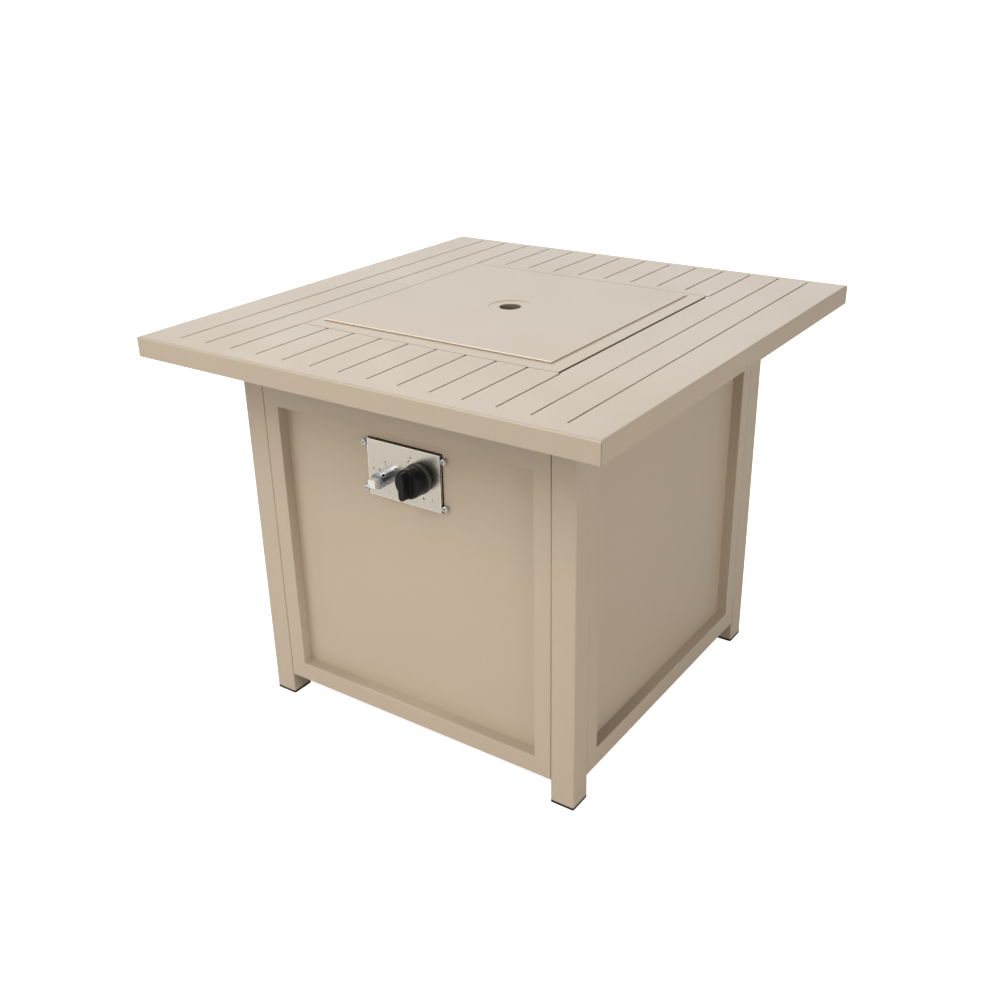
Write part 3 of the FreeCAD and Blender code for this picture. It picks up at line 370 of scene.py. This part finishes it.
def mixColour(tree, mask, low, high):
    # one colour where the mask is 0, the other where it is 1; either may be a socket
    mix = tree.nodes.new("ShaderNodeMix")
    mix.data_type = "RGBA"
    tree.links.new(mask, mix.inputs[0])
    for socket, value in ((mix.inputs[6], low), (mix.inputs[7], high)):
        if isinstance(value, tuple):
            socket.default_value = (*value, 1.0)
        else:
            tree.links.new(value, socket)
    return mix.outputs[2]


def mapMask(tree, mask, low, high):
    # low + mask x (high - low)
    spread = tree.nodes.new("ShaderNodeMapRange")
    spread.inputs["To Min"].default_value = low
    spread.inputs["To Max"].default_value = high
    tree.links.new(mask, spread.inputs["Value"])
    return spread.outputs[0]


def makeFinish(name, look):
    # one material from its dictionary: two tones, gloss that changes over it, grain or brush lines, a
    # dust film, and the painted highlights, painted shade and seam lines listed in its parts
    material = bpy.data.materials.new(name)
    material.use_nodes = True
    tree = material.node_tree
    shader = tree.nodes["Principled BSDF"]
    mottle = placeGroup(tree, mottleGroup, Scale=look["mottle"])
    colour = mixColour(tree, mottle.outputs["Mask"], look["tone"], look["toneB"])
    rough = mapMask(tree, mottle.outputs["Mask"], look["rough"] - look["roughSpread"],
                    look["rough"] + look["roughSpread"])
    if "brush" in look:
        brush = placeGroup(tree, brushGroup, Stretch=look["brush"])
        height = brush.outputs["Lines"]
        dark = tuple(0.82 * c for c in look["tone"])
        lines = mapMask(tree, height, 0.0, 1.0)
        colour = mixColour(tree, lines, dark, colour)
        add = tree.nodes.new("ShaderNodeMath")
        add.operation = "ADD"
        tree.links.new(rough, add.inputs[0])
        tree.links.new(mapMask(tree, height, -0.05, 0.05), add.inputs[1])
        rough = add.outputs[0]
    else:
        grain = placeGroup(tree, grainGroup, Scale=look["grain"])
        height = grain.outputs["Height"]
        fleck = mapMask(tree, height, 0.0, 1.0)
        colour = mixColour(tree, fleck, tuple(look.get("fleckDark", 0.94) * c for c in look["tone"]),
                           colour)
    if look.get("dust"):
        film = placeGroup(tree, dustGroup, Amount=look["dust"])
        colour = mixColour(tree, film.outputs["Mask"], colour, look.get("dustTone", (0.62, 0.58, 0.52)))
    # each part lays its tone over the colour where its mask is 1: painted highlights, painted shade and
    # seam lines
    for group, settings, tone in look.get("parts", ()):
        part = placeGroup(tree, group, **settings)
        colour = mixColour(tree, part.outputs["Mask"], colour, tone)
    bump = tree.nodes.new("ShaderNodeBump")
    bump.inputs["Strength"].default_value = look["bump"]
    bump.inputs["Distance"].default_value = look["bumpDepth"]
    tree.links.new(height, bump.inputs["Height"])
    tree.links.new(bump.outputs[0], shader.inputs["Normal"])
    tree.links.new(colour, shader.inputs["Base Color"])
    tree.links.new(rough, shader.inputs["Roughness"])
    shader.inputs["Metallic"].default_value = look.get("metal", 0.0)
    shader.inputs["Specular IOR Level"].default_value = look.get("specular", 0.5)
    shader.inputs["Coat Weight"].default_value = look.get("coat", 0.0)
    shader.inputs["Coat Roughness"].default_value = look.get("coatRough", 0.1)
    shader.inputs["Anisotropic"].default_value = look.get("anisotropic", 0.0)
    return material


finishes = {
    "powder_coat": dict(tone=(0.475, 0.385, 0.285), toneB=(0.490, 0.398, 0.296), mottle=5.0, rough=0.46,
                        roughSpread=0.03,
                        grain=950.0, bump=0.18, bumpDepth=0.00012, metal=0.12, specular=0.55, coat=0.12,
                        coatRough=0.42,
                        dust=0.05, fleckDark=0.95),
    "grey_coat": dict(tone=(0.10, 0.10, 0.10), toneB=(0.13, 0.13, 0.128), mottle=9.0, rough=0.55,
                      roughSpread=0.06,
                      grain=900.0, bump=0.25, bumpDepth=0.00012, dust=0.25),
    "black_plastic": dict(tone=(0.0045, 0.0045, 0.005), toneB=(0.008, 0.008, 0.0085), mottle=40.0,
                          rough=0.38, roughSpread=0.05,
                          grain=2600.0, bump=0.12, bumpDepth=0.00006, specular=0.24, fleckDark=0.8),
    "bezel_grey": dict(tone=(0.060, 0.057, 0.050), toneB=(0.075, 0.071, 0.062), mottle=60.0, rough=0.42,
                       roughSpread=0.05,
                       grain=2400.0, bump=0.12, bumpDepth=0.00005),
    "rubber": dict(tone=(0.025, 0.025, 0.025), toneB=(0.04, 0.04, 0.039), mottle=60.0, rough=0.75,
                   roughSpread=0.08,
                   grain=1800.0, bump=0.3, bumpDepth=0.0001),
    "brushed_steel": dict(tone=(0.71, 0.66, 0.585), toneB=(0.76, 0.715, 0.645), mottle=16.0, rough=0.24,
                          roughSpread=0.03,
                          brush=(10.0, 10.0, 3200.0), bump=0.10, bumpDepth=0.00003, metal=1.0,
                          anisotropic=0.35),
    "burner_steel": dict(tone=(0.50, 0.47, 0.43), toneB=(0.58, 0.56, 0.53), mottle=9.0, rough=0.36,
                         roughSpread=0.06,
                         brush=(900.0, 14.0, 60.0), bump=0.12, bumpDepth=0.00003, metal=1.0, dust=0.06),
    "zinc_steel": dict(tone=(0.62, 0.63, 0.64), toneB=(0.72, 0.71, 0.66), mottle=120.0, rough=0.27,
                       roughSpread=0.07,
                       grain=1400.0, bump=0.10, bumpDepth=0.00004, metal=1.0, fleckDark=0.85),
    "spring_steel": dict(tone=(0.34, 0.34, 0.35), toneB=(0.46, 0.45, 0.44), mottle=220.0, rough=0.32,
                         roughSpread=0.06,
                         grain=2400.0, bump=0.15, bumpDepth=0.00003, metal=1.0),
    "brass": dict(tone=(0.60, 0.43, 0.18), toneB=(0.70, 0.53, 0.26), mottle=70.0, rough=0.27,
                  roughSpread=0.06,
                  brush=(60.0, 2200.0, 60.0), bump=0.12, bumpDepth=0.00004, metal=1.0),
    "aluminium": dict(tone=(0.60, 0.61, 0.62), toneB=(0.69, 0.70, 0.71), mottle=30.0, rough=0.33,
                      roughSpread=0.06,
                      brush=(1400.0, 24.0, 1400.0), bump=0.12, bumpDepth=0.00004, metal=1.0),
    "chrome": dict(tone=(0.30, 0.325, 0.375), toneB=(0.37, 0.395, 0.44), mottle=90.0, rough=0.27,
                   roughSpread=0.04,
                   grain=1500.0, bump=0.03, bumpDepth=0.00001, metal=1.0, fleckDark=0.94),
    "white_plastic": dict(tone=(0.74, 0.71, 0.64), toneB=(0.79, 0.76, 0.70), mottle=80.0, rough=0.34,
                          roughSpread=0.05,
                          grain=1900.0, bump=0.10, bumpDepth=0.00005),
    "ceramic": dict(tone=(0.80, 0.78, 0.72), toneB=(0.86, 0.84, 0.79), mottle=90.0, rough=0.22,
                    roughSpread=0.04,
                    grain=1100.0, bump=0.08, bumpDepth=0.00004, coat=0.5),
    "mark_ink": dict(tone=(0.035, 0.035, 0.04), toneB=(0.06, 0.06, 0.06), mottle=300.0, rough=0.5,
                     roughSpread=0.08,
                     grain=3000.0, bump=0.1, bumpDepth=0.00002),
}

# finishes that change over a part, with painted highlights, painted shade and seam lines: each entry of
# parts is (group, its settings, the tone it gives)
coat = finishes["powder_coat"]
# painted shade: inside the top's outline and below its surface (skirt inside, slot walls, seats, burner
# frame sides) the coat is coloured almost black
topRecessShade = {"Centre": (0.0, 0.0, 0.600), "Half Size": (0.3985, 0.4125, 0.0506)}
topSeams = {"Centre": (0.0, 0.0, 0.635), "Half Size": (0.3994, 0.4134, 1.0)}
# painted highlight: the rolled edge round the top's surface gets a light cream tone
topEdgeHighlight = {"Centre": (0.0, 0.0, 0.600), "Half Size": (0.3991, 0.4131, 0.0514)}
finishes["top_coat"] = dict(coat, parts=[
    (insideGroup, topRecessShade, (0.060, 0.047, 0.034)),
    (cornerGroup, topSeams, (0.16, 0.125, 0.09)),
    (rollGroup, topEdgeHighlight, (0.76, 0.67, 0.56)),
])
# painted shade: the finger hole's throat and the lid's underside are coloured dark
lidHoleShade = {"Centre": (-0.009, 0.008, 0.640), "Half Size": (0.2076, 0.2076, 0.0134)}
# painted highlight: the lid's folded rim all round gets a light cream tone
lidRimHighlight = {"Centre": (-0.009, 0.008, 0.650), "Half Size": (0.2084, 0.2084, 1.0)}
finishes["lid_coat"] = dict(coat, parts=[
    (sidesGroup, lidRimHighlight, (0.82, 0.71, 0.58)),
    (insideGroup, lidHoleShade, (0.20, 0.165, 0.115)),
])
# painted highlight: a light band round the plate's outer edge
plateEdgeHighlight = {"Centre": (0.0, -0.289, 0.4715), "Half Size": (0.0665, 1.0, 0.0440)}
# painted light: the back of the plate's sides, next to the panel, gets a bright warm tone over the
# painted shade
plateFootPaintedLight = {"Centre": (0.0, -0.2854, 0.4715), "Half Size": (0.069, 0.0016, 0.060)}
# painted shade: the flange behind the plate, seen through the gap, is coloured near black
plateFlangeShade = {"Centre": (0.0, -0.280, 0.4715), "Half Size": (0.090, 0.0044, 0.060)}
finishes["plate_steel"] = dict(finishes["brushed_steel"], parts=[
    (rimGroup, plateEdgeHighlight, (0.92, 0.89, 0.84)),
    # painted shade: faces of the plate that don't look to the front are coloured dark brown
    (awayGroup, {"Limit": -0.6}, (0.11, 0.09, 0.07)),
    (insideGroup, plateFootPaintedLight, (1.0, 0.86, 0.66)),
    (insideGroup, plateFlangeShade, (0.035, 0.028, 0.022)),
])
slotCentre = (-0.0271, -0.3034, 0.4708)
# painted highlight: a light rim round the slot on the igniter collar
slotRimHighlight = {"Centre": slotCentre, "Half Size": (0.0026, 0.0050, 0.0026)}
# painted shade: the slot in the collar is a near-black patch, with no opening in the mesh
slotHoleShade = {"Centre": slotCentre, "Half Size": (0.0014, 0.0036, 0.0030)}
finishes["igniter_chrome"] = dict(finishes["chrome"], parts=[
    (insideGroup, slotRimHighlight, (0.85, 0.86, 0.88)),
    (insideGroup, slotHoleShade, (0.01, 0.01, 0.01)),
])
paint = {name: makeFinish(name, look) for name, look in finishes.items()}

nodeSlots = {entry["node"]: entry["material_slot"] for entry in frame["record"]["subparts"]}
ownFinish = {
    "burner_steel": ("burner_pan", "pan_walls", "burner_ring", "electrode_bracket"),
    "top_coat": ("table_top", "burner_frame", "frame_seats", "slat_bars"),
    "plate_steel": ("control_plate",),
}
ownFinish = {nodeName: finishName for finishName, members in ownFinish.items() for nodeName in members}
for nodeName, node in frame["nodes"].items():
    finishName = ownFinish.get(nodeName, nodeSlots[nodeName])
    node.data.materials.clear()
    node.data.materials.append(paint[finishName])
print("finishes made:", len(paint))


# welded tube frames

def tubeRing(size, wall):
    # the tube's rounded section runs round the rectangle; a point sits at outer edge + share x width +
    # offset
    angle = np.linspace(0, np.pi / 2, 6)
    early, late = size["round"] * (1 - np.cos(angle)), size["round"] * (1 - np.sin(angle))
    share = np.repeat([0.0, 1.0, 1.0, 0.0], 6)
    offset = np.concatenate([early, -late, -early, late])
    deep = size["deep"]
    depth = -size["face"] + np.concatenate([late, early, deep - late, deep - early])
    left = -size["half"] + share * size["stile"] + offset
    low = size["low"] + share * size["railLow"] + offset
    high = size["high"] - share * size["railHigh"] - offset
    loops = np.stack([np.stack([left, low], -1), np.stack([-left, low], -1),
                      np.stack([-left, high], -1), np.stack([left, high], -1)], 1)
    return facing(loops * mm, depth * mm, wall)


baseFrame = dict(half=262.6, stile=28.6, low=40.0, high=617.0, railLow=32.0, railHigh=80.0, face=302.5,
                 deep=20.0, round=1.6)
doorFrame = dict(half=261.2, stile=28.6, low=74.0, high=535.0, railLow=32.0, railHigh=32.0, face=302.5,
                 deep=20.0, round=1.6)
for wallName in ("front", "right", "left"):
    addPiece(wallName + "Frame", [(tubeRing(baseFrame, wallName), True)], "table",
             paint["powder_coat"],
             [wallName + "_frame"])
addPiece("doorFrame", [(tubeRing(doorFrame, "back"), True)], "door",
         paint["powder_coat"], ["door_frame"])
print("tube frames built")


# lid: one pressed sheet with a folded rim and a dished finger hole

lidSize = dict(x=-9.0, y=8.0, half=209.0, top=654.8, rim=652.7, sheet=1.5, bend=0.9, hole=17.0,
               collar=9.0, dish=36.4, dishFlat=33.0, deep=1.3)


def circles(angle, rows):
    # one upright circle for each (radius, height), with its points at the given angles
    rows = np.array(rows)
    turn = np.stack([np.cos(angle), np.sin(angle)], -1)
    return upright(rows[:, 0, None, None] * turn, rows[:, 1])


def dishedLid(size):
    # rows go from the throat's foot over the lip, the dish and the flat to the rim, then back inside; a
    # row is
    # a circle near the hole and a square with rounded corners at the rim
    sheet, top = size["sheet"], size["top"]
    lip = np.linspace(0, np.pi / 2, 7)[1:-1]
    floor = top - size["deep"]
    outer = [(size["hole"], top - sheet - size["collar"]), (size["hole"], floor - 1.2)]
    outer += [(size["hole"] + 1.2 * (1 - math.cos(a)), floor - 1.2 + 1.2 * math.sin(a)) for a in lip]
    outer += [(size["hole"] + 1.2, floor), (size["hole"] + 1.6, floor), (size["dishFlat"], floor)]
    slope = np.linspace(0, 1, 9)[1:]
    outer += [(size["dishFlat"] + s * (size["dish"] - size["dishFlat"]),
               floor + size["deep"] * (3 * s * s - 2 * s ** 3)) for s in slope]
    outer += [(size["dish"] + 0.6, top), (size["dish"] + 4.0, top)]
    bend = np.linspace(0, np.pi / 2, 7)
    edge = [(size["half"] - size["bend"] - 2.0, top)]
    edge += [(size["half"] - size["bend"] * (1 - math.sin(a)), top - size["bend"] * (1 - math.cos(a)))
             for a in bend]
    edge += [(size["half"], size["rim"] + 0.2), (size["half"] - 0.2, size["rim"]),
             (size["half"] - sheet + 0.2, size["rim"]),
             (size["half"] - sheet, size["rim"] + 0.2), (size["half"] - sheet, top - sheet - 0.3),
             (size["half"] - sheet - 0.3, top - sheet), (size["half"] - 6.0, top - sheet)]
    under = [(size["dish"] + 4.0, top - sheet), (size["dish"] + 1.5, top - sheet - 0.2),
             (size["dish"] - 1.5, top - sheet - 0.9),
             (size["hole"] + sheet + 1.0, top - sheet - 0.9), (size["hole"] + sheet, top - sheet - 2.0),
             (size["hole"] + sheet, top - sheet - size["collar"]),
             (size["hole"], top - sheet - size["collar"])]
    half = size["half"]
    corners = rectLoops(-half, half, -half, half, 2.0, 5, 30)[0]
    angle = np.arctan2(corners[:, 1], corners[:, 0])
    edge = np.array(edge)
    rim = edge[:, 0]
    squares = upright(rectLoops(-rim, rim, -rim, rim, np.maximum(2.0 - half + rim, 0.4), 5, 30),
                      edge[:, 1])
    return np.concatenate([circles(angle, outer), squares, circles(angle, under)])


addPiece("dishedLid", [((dishedLid(lidSize) + np.array([lidSize["x"], lidSize["y"], 0])) * mm, True)],
         "lid", paint["lid_coat"], ["lid"])
print("lid built")


# control group

knobSize = dict(x=26.0, z=471.5, back=-297.3, shoulder=-315.5, nose=-329.0, rim=23.0, root=6.8,
                crest=5.2, soft=0.8)
igniterSize = dict(x=-34.0, z=461.0, front=-311.0, plate=-289.0, collar=12.0, halfX=7.0, halfZ=6.5,
                   button=-323.0, buttonBack=-297.0)


def knobSkirt(size):
    # profile of (radius, distance forward of the back): chamfered back, groove, slight taper and a
    # rounded shoulder
    depth = size["back"] - size["shoulder"]
    rim = size["rim"]
    groove = 0.28 * depth
    points = [(0.0, 0.0), (4.2, 0.0), (rim - 0.8, 0.0), (rim, 0.8), (rim, groove),
              (rim - 1.3, groove + 0.5), (rim - 1.3, groove + 1.6),
              (rim, groove + 2.1), (rim - 0.5, depth), (0.0, depth)]
    soft = softOutline(points, [0, 0, 0.4, 0.4, 0.25, 0.3, 0.3, 0.3, 2.4, 0], 5, False)
    return spun(soft, (size["x"], size["back"], size["z"]), "-y", 96)


def gripBar(size):
    # flat loops in X and Z from the shoulder to the nose: narrower towards the nose, round at the ends,
    # soft at the crest
    height = size["shoulder"] - size["nose"]
    rise = np.array([-1.5, 0.0, 0.35, 1.0, 5.0, 9.0, height - size["soft"]])
    crest = np.linspace(0, np.pi / 2, 7)[1:]
    rise = np.concatenate([rise, height - size["soft"] * (1 - np.sin(crest))])
    share = np.clip(rise / height, 0, 1)
    pull = np.concatenate([np.zeros(7), size["soft"] * (1 - np.cos(crest))])
    flare = np.array([1.4, 1.0, 0.45, 0.0, 0, 0, 0] + [0] * 6)
    half = size["root"] + (size["crest"] - size["root"]) * share - pull + flare
    long = size["rim"] - 1.5 - 0.8 * share - pull * 0.9
    columns = 24
    along = np.linspace(-1, 1, columns)[None, :]
    ends = long[:, None] * np.sin(along * np.pi / 2)
    edge = np.sqrt(np.maximum(1 - (ends / long[:, None]) ** 8, 0.0))
    right = np.stack([half[:, None] * edge, ends], -1)
    left = np.stack([-half[:, None] * edge, ends], -1)[:, ::-1]
    loops = np.concatenate([right, left[:, 1:-1]], 1)
    loops = loops + np.array([size["x"], size["z"]])
    return closedEnds(facing(loops, size["shoulder"] - rise))


bezelProfile = softOutline([(12.5, 0.0), (24.0, 0.0), (24.0, 3.4), (17.0, 3.4), (16.4, 2.6),
                            (12.5, 2.6)], [0, 0, 1.3, 0.4, 0.2, 0.2], 5)
addPiece("knobShell", [(knobSkirt(knobSize) * mm, False), (gripBar(knobSize) * mm, False)], "knob",
         paint["black_plastic"], ["knob"])
addPiece("bezelRing", [(spun(bezelProfile, (26.0, -289.0, 471.5), "-y", 96) * mm, True)], "table",
         paint["bezel_grey"], ["knob_bezel"])


def igniterShell(size):
    # front lip and outside of the collar, barrel and cap, then back through the chamber and the square
    # guide
    forward = size["plate"] - size["front"]
    outside = softOutline([(9.9, forward), (12.0, forward), (12.0, 0.0), (10.0, 0.0), (10.0, -43.0),
                           (11.0, -43.0), (11.0, -51.0),
                           (6.6, -51.0)], [0, 1.5, 0.3, 0.1, 0.1, 0.4, 0.6, 0], 6, False)
    halfX, halfZ = size["halfX"] + 0.3, size["halfZ"] + 0.3
    flare = np.array([0.4, 0.0, 0.0])
    guide = rectLoops(-halfX - flare, halfX + flare, -halfZ - flare, halfZ + flare, 1.8, 5, 14)
    angle = np.arctan2(guide[1, :, 1], guide[1, :, 0])
    inside = [(6.6, -27.0), (6.6, 1.5)]
    shell = circles(angle, np.concatenate([outside, inside]))[..., :2]
    reach = np.concatenate([outside[:, 1], [-27.0, 1.5], [1.5, forward - 0.5, forward]])
    loops = np.concatenate([shell, guide[::-1]]) + np.array([size["x"], size["z"]])
    return facing(loops, size["plate"] - reach)


addPiece("igniterShell", [(igniterShell(igniterSize) * mm, True)], "table",
         paint["igniter_chrome"], ["igniter_body"])


def pressButton(size):
    # rounded block: the crest has a small round, the back a small chamfer
    crest = np.linspace(0, np.pi / 2, 6)
    depth = np.concatenate([size["button"] + 1.1 * (1 - np.sin(crest[::-1])),
                            [size["buttonBack"] - 0.4, size["buttonBack"]]])
    inset = np.concatenate([1.1 * (1 - np.cos(crest[::-1])), [0.0, 0.4]])
    halfX, halfZ = size["halfX"] - inset, size["halfZ"] - inset
    loops = rectLoops(size["x"] - halfX, size["x"] + halfX, size["z"] - halfZ, size["z"] + halfZ, 1.7,
                      6, 3)
    return closedEnds(facing(loops, depth))


addPiece("pressButton", [(pressButton(igniterSize) * mm, False)], "button",
         paint["white_plastic"],
         ["igniter_button"])


def printedMarks(marks):
    # each mark is a thin slab: a flattened round for a dot, a narrow slanted one for a stroke
    angle = np.arange(12) * 2 * np.pi / 12
    turn = np.stack([np.cos(angle), np.sin(angle)], -1)
    shells = []
    for x, z, wide, high, lean in marks["places"]:
        flat = turn * np.array([wide / 2, high / 2])
        flat = np.stack([flat[:, 0] + lean * flat[:, 1], flat[:, 1]], -1) + np.array([x, z])
        loops = np.stack([flat, flat])
        depths = np.array([marks["front"], marks["front"] - marks["thick"]])
        shells.append((closedEnds(facing(loops, depths)) * mm, False))
    return shells


# places are (x, z, width, height, lean)
marks = dict(front=-288.98, thick=0.07, places=[
    (-57.0, 470.0, 2.2, 2.6, 0), (-34.0, 485.0, 2.2, 2.6, 0), (-46.0, 470.5, 2.6, 3.0, 0),
    (-34.0, 479.5, 0.8, 4.2, 0.1),
    (14.0, 502.0, 2.4, 2.8, 0), (10.0, 495.5, 1.4, 6.5, 0.35), (35.5, 442.5, 3.2, 3.6, 0),
    (51.0, 442.0, 0.9, 5.2, 0.3),
    (-30.0, 437.0, 3.2, 1.0, 0)])
addPiece("plateMarks", printedMarks(marks), "table", paint["mark_ink"])


# feet

feet = dict(middle=283.0, half=20.25, soft=2.6, low=0.0, lip=4.6, inner=18.0)


def footCap(size, signX, signY):
    # a plastic cap: flat foot with a small chamfer and a lip that laps over the end of the tube
    rows = np.array([(size["inner"], 0.0), (size["half"] - 0.6, 0.0), (size["half"], 0.6),
                     (size["half"], size["lip"] - 0.25),
                     (size["half"] - 0.2, size["lip"]), (size["half"] - 0.9, size["lip"] + 0.05),
                     (size["inner"], size["lip"] - 1.0)])
    reach = rows[:, 0]
    x, y = signX * size["middle"], signY * size["middle"]
    loops = rectLoops(x - reach, x + reach, y - reach, y + reach, size["soft"], 5)
    return closedEnds(upright(loops, rows[:, 1]))


caps = [(footCap(feet, signX, signY) * mm, False) for signX in (-1, 1) for signY in (-1, 1)]
addPiece("footCaps", caps, "table", paint["black_plastic"], ["foot_caps"])
print("control pieces built")


# springs: a wire round a helix whose end turns lie close together

def coilSpring(spring):
    # centreline: radius x (cosine, sine) of the turn, and an advance along Y that is slow at both ends
    rows = int(spring["turns"] * 28)
    share = np.linspace(0, 1, rows)
    turn = 2 * np.pi * spring["turns"] * share
    ease = share - 0.10 * np.sin(2 * np.pi * share)
    line = np.stack([spring["x"] + spring["radius"] * np.cos(turn),
                     spring["start"] + spring["length"] * ease,
                     spring["z"] + spring["radius"] * np.sin(turn)], -1)
    forward = np.gradient(line, axis=0)
    forward /= np.linalg.norm(forward, axis=1)[:, None]
    outward = np.stack([np.cos(turn), 0 * turn, np.sin(turn)], -1)
    outward -= (outward * forward).sum(1)[:, None] * forward
    outward /= np.linalg.norm(outward, axis=1)[:, None]
    across = np.cross(forward, outward)
    angle = np.arange(10) * 2 * np.pi / 10
    return closedEnds(line[:, None]
                      + spring["wire"] * (np.cos(angle)[:, None] * outward[:, None]
                                          + np.sin(angle)[:, None] * across[:, None]))


springs = {
    "valveSpring": dict(x=26.0, z=471.5, radius=5.6, wire=0.5, start=-277.2, length=14.6, turns=5.5,
                        node="valve_spring",
                        joint="knob_push", keep=0.73),
    "igniterSpring": dict(x=-34.0, z=461.0, radius=4.6, wire=0.5, start=-296.3, length=33.0, turns=10.5,
                          node="igniter_spring",
                          joint="igniter_press", keep=0.81),
}
for springName, spring in springs.items():
    coil = addPiece(springName, [(coilSpring(spring) * mm, False)], "table",
                    paint["spring_steel"], [spring["node"]])
    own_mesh(coil)
print("springs built")


# floor, light and camera

floorMesh = bpy.data.meshes.new("floor")
floorMesh.from_pydata([(-60, -60, 0), (60, -60, 0), (60, 60, 0), (-60, 60, 0)], [], [(0, 1, 2, 3)])
floor = bpy.data.objects.new("floor", floorMesh)
scene.collection.objects.link(floor)
floorPaint = bpy.data.materials.new("palePaper")
floorPaint.use_nodes = True
floorShader = floorPaint.node_tree.nodes["Principled BSDF"]
floorShader.inputs["Base Color"].default_value = (0.70, 0.685, 0.655, 1)
floorShader.inputs["Roughness"].default_value = 0.9
floorShader.inputs["Specular IOR Level"].default_value = 0.1
floorShader.inputs["Emission Color"].default_value = (1, 1, 1, 1)
direct = floorPaint.node_tree.nodes.new("ShaderNodeLightPath")
lift = floorPaint.node_tree.nodes.new("ShaderNodeMath")
lift.operation = "MULTIPLY"
lift.inputs[1].default_value = 0.86
floorPaint.node_tree.links.new(direct.outputs["Is Camera Ray"], lift.inputs[0])
floorPaint.node_tree.links.new(lift.outputs[0], floorShader.inputs["Emission Strength"])
floorMesh.materials.append(floorPaint)

world = bpy.data.worlds.new("softRoom")
scene.world = world
world.use_nodes = True
sky = world.node_tree.nodes["Background"]
seen = world.node_tree.nodes.new("ShaderNodeLightPath")
level = world.node_tree.nodes.new("ShaderNodeMapRange")
level.inputs["To Min"].default_value = 0.36
level.inputs["To Max"].default_value = 1.05
world.node_tree.links.new(seen.outputs["Is Camera Ray"], level.inputs["Value"])
world.node_tree.links.new(level.outputs[0], sky.inputs["Strength"])
sky.inputs["Color"].default_value = (1, 1, 1, 1)

lamps = {
    "keyFromFront": dict(place=(-2.1, -3.0, 1.8), aim=(0, 0, 0.3), size=(2.2, 1.6), power=30,
                         tone=(1.0, 0.965, 0.915)),
    "overFront": dict(place=(-0.7, -2.4, 3.2), aim=(0, 0, 0.4), size=(2.6, 1.6), power=80,
                      tone=(0.965, 0.975, 1.0)),
    "farSoftbox": dict(place=(-2.2, 3.4, 2.6), aim=(0, 0, 0.6), size=(5.2, 2.2), power=78,
                       tone=(0.93, 0.955, 1.0)),
    "rightFill": dict(place=(3.2, -0.9, 1.7), aim=(0, 0, 0.2), size=(2.0, 1.8), power=41,
                      tone=(1.0, 0.98, 0.96)),
    "floorCardFront": dict(place=(0.05, -0.80, 0.04), aim=(0.05, -0.3, 0.10), size=(0.9, 0.12),
                           power=0.62, tone=(1.0, 0.96, 0.90)),
    "floorCardRight": dict(place=(0.85, 0.05, 0.04), aim=(0.3, 0.05, 0.10), size=(0.9, 0.12),
                           power=0.22, tone=(1.0, 0.96, 0.90)),
}
for lampName, lamp in lamps.items():
    light = bpy.data.lights.new(lampName, "AREA")
    light.shape = "RECTANGLE"
    light.size, light.size_y = lamp["size"]
    light.energy = lamp["power"]
    light.color = lamp["tone"]
    lampObject = bpy.data.objects.new(lampName, light)
    scene.collection.objects.link(lampObject)
    lampObject.location = lamp["place"]
    lampObject.visible_camera = False
    # the weak floor cards stand in for light off the floor, so no reflection shows them
    lampObject.visible_glossy = lamp["power"] > 1
    lampObject.rotation_euler = (Vector(lamp["aim"]) - Vector(lamp["place"])).to_track_quat("-Z",
        "Y").to_euler()

eye = dict(turn=34.85, tilt=24.78, roll=-1.10, place=(0.9910, -1.4666, 1.1361), lens=41.018)
turn, tilt, roll = [math.radians(eye[key]) for key in ("turn", "tilt", "roll")]
back = Vector((math.sin(turn) * math.cos(tilt), -math.cos(turn) * math.cos(tilt), math.sin(tilt)))
side = Vector((math.cos(turn), math.sin(turn), 0))
above = back.cross(side)
pictureX = math.cos(roll) * side + math.sin(roll) * above
pictureY = -math.sin(roll) * side + math.cos(roll) * above
cameraData = bpy.data.cameras.new("camera")
cameraData.sensor_width = 36
cameraData.lens = eye["lens"]
cameraData.clip_end = 300
camera = bpy.data.objects.new("camera", cameraData)
scene.collection.objects.link(camera)
camera.matrix_world = Matrix((pictureX, pictureY, back)).transposed().to_4x4()
camera.location = eye["place"]
scene.camera = camera
scene.view_settings.view_transform = "Standard"
scene.view_settings.look = "None"
print("stage set")
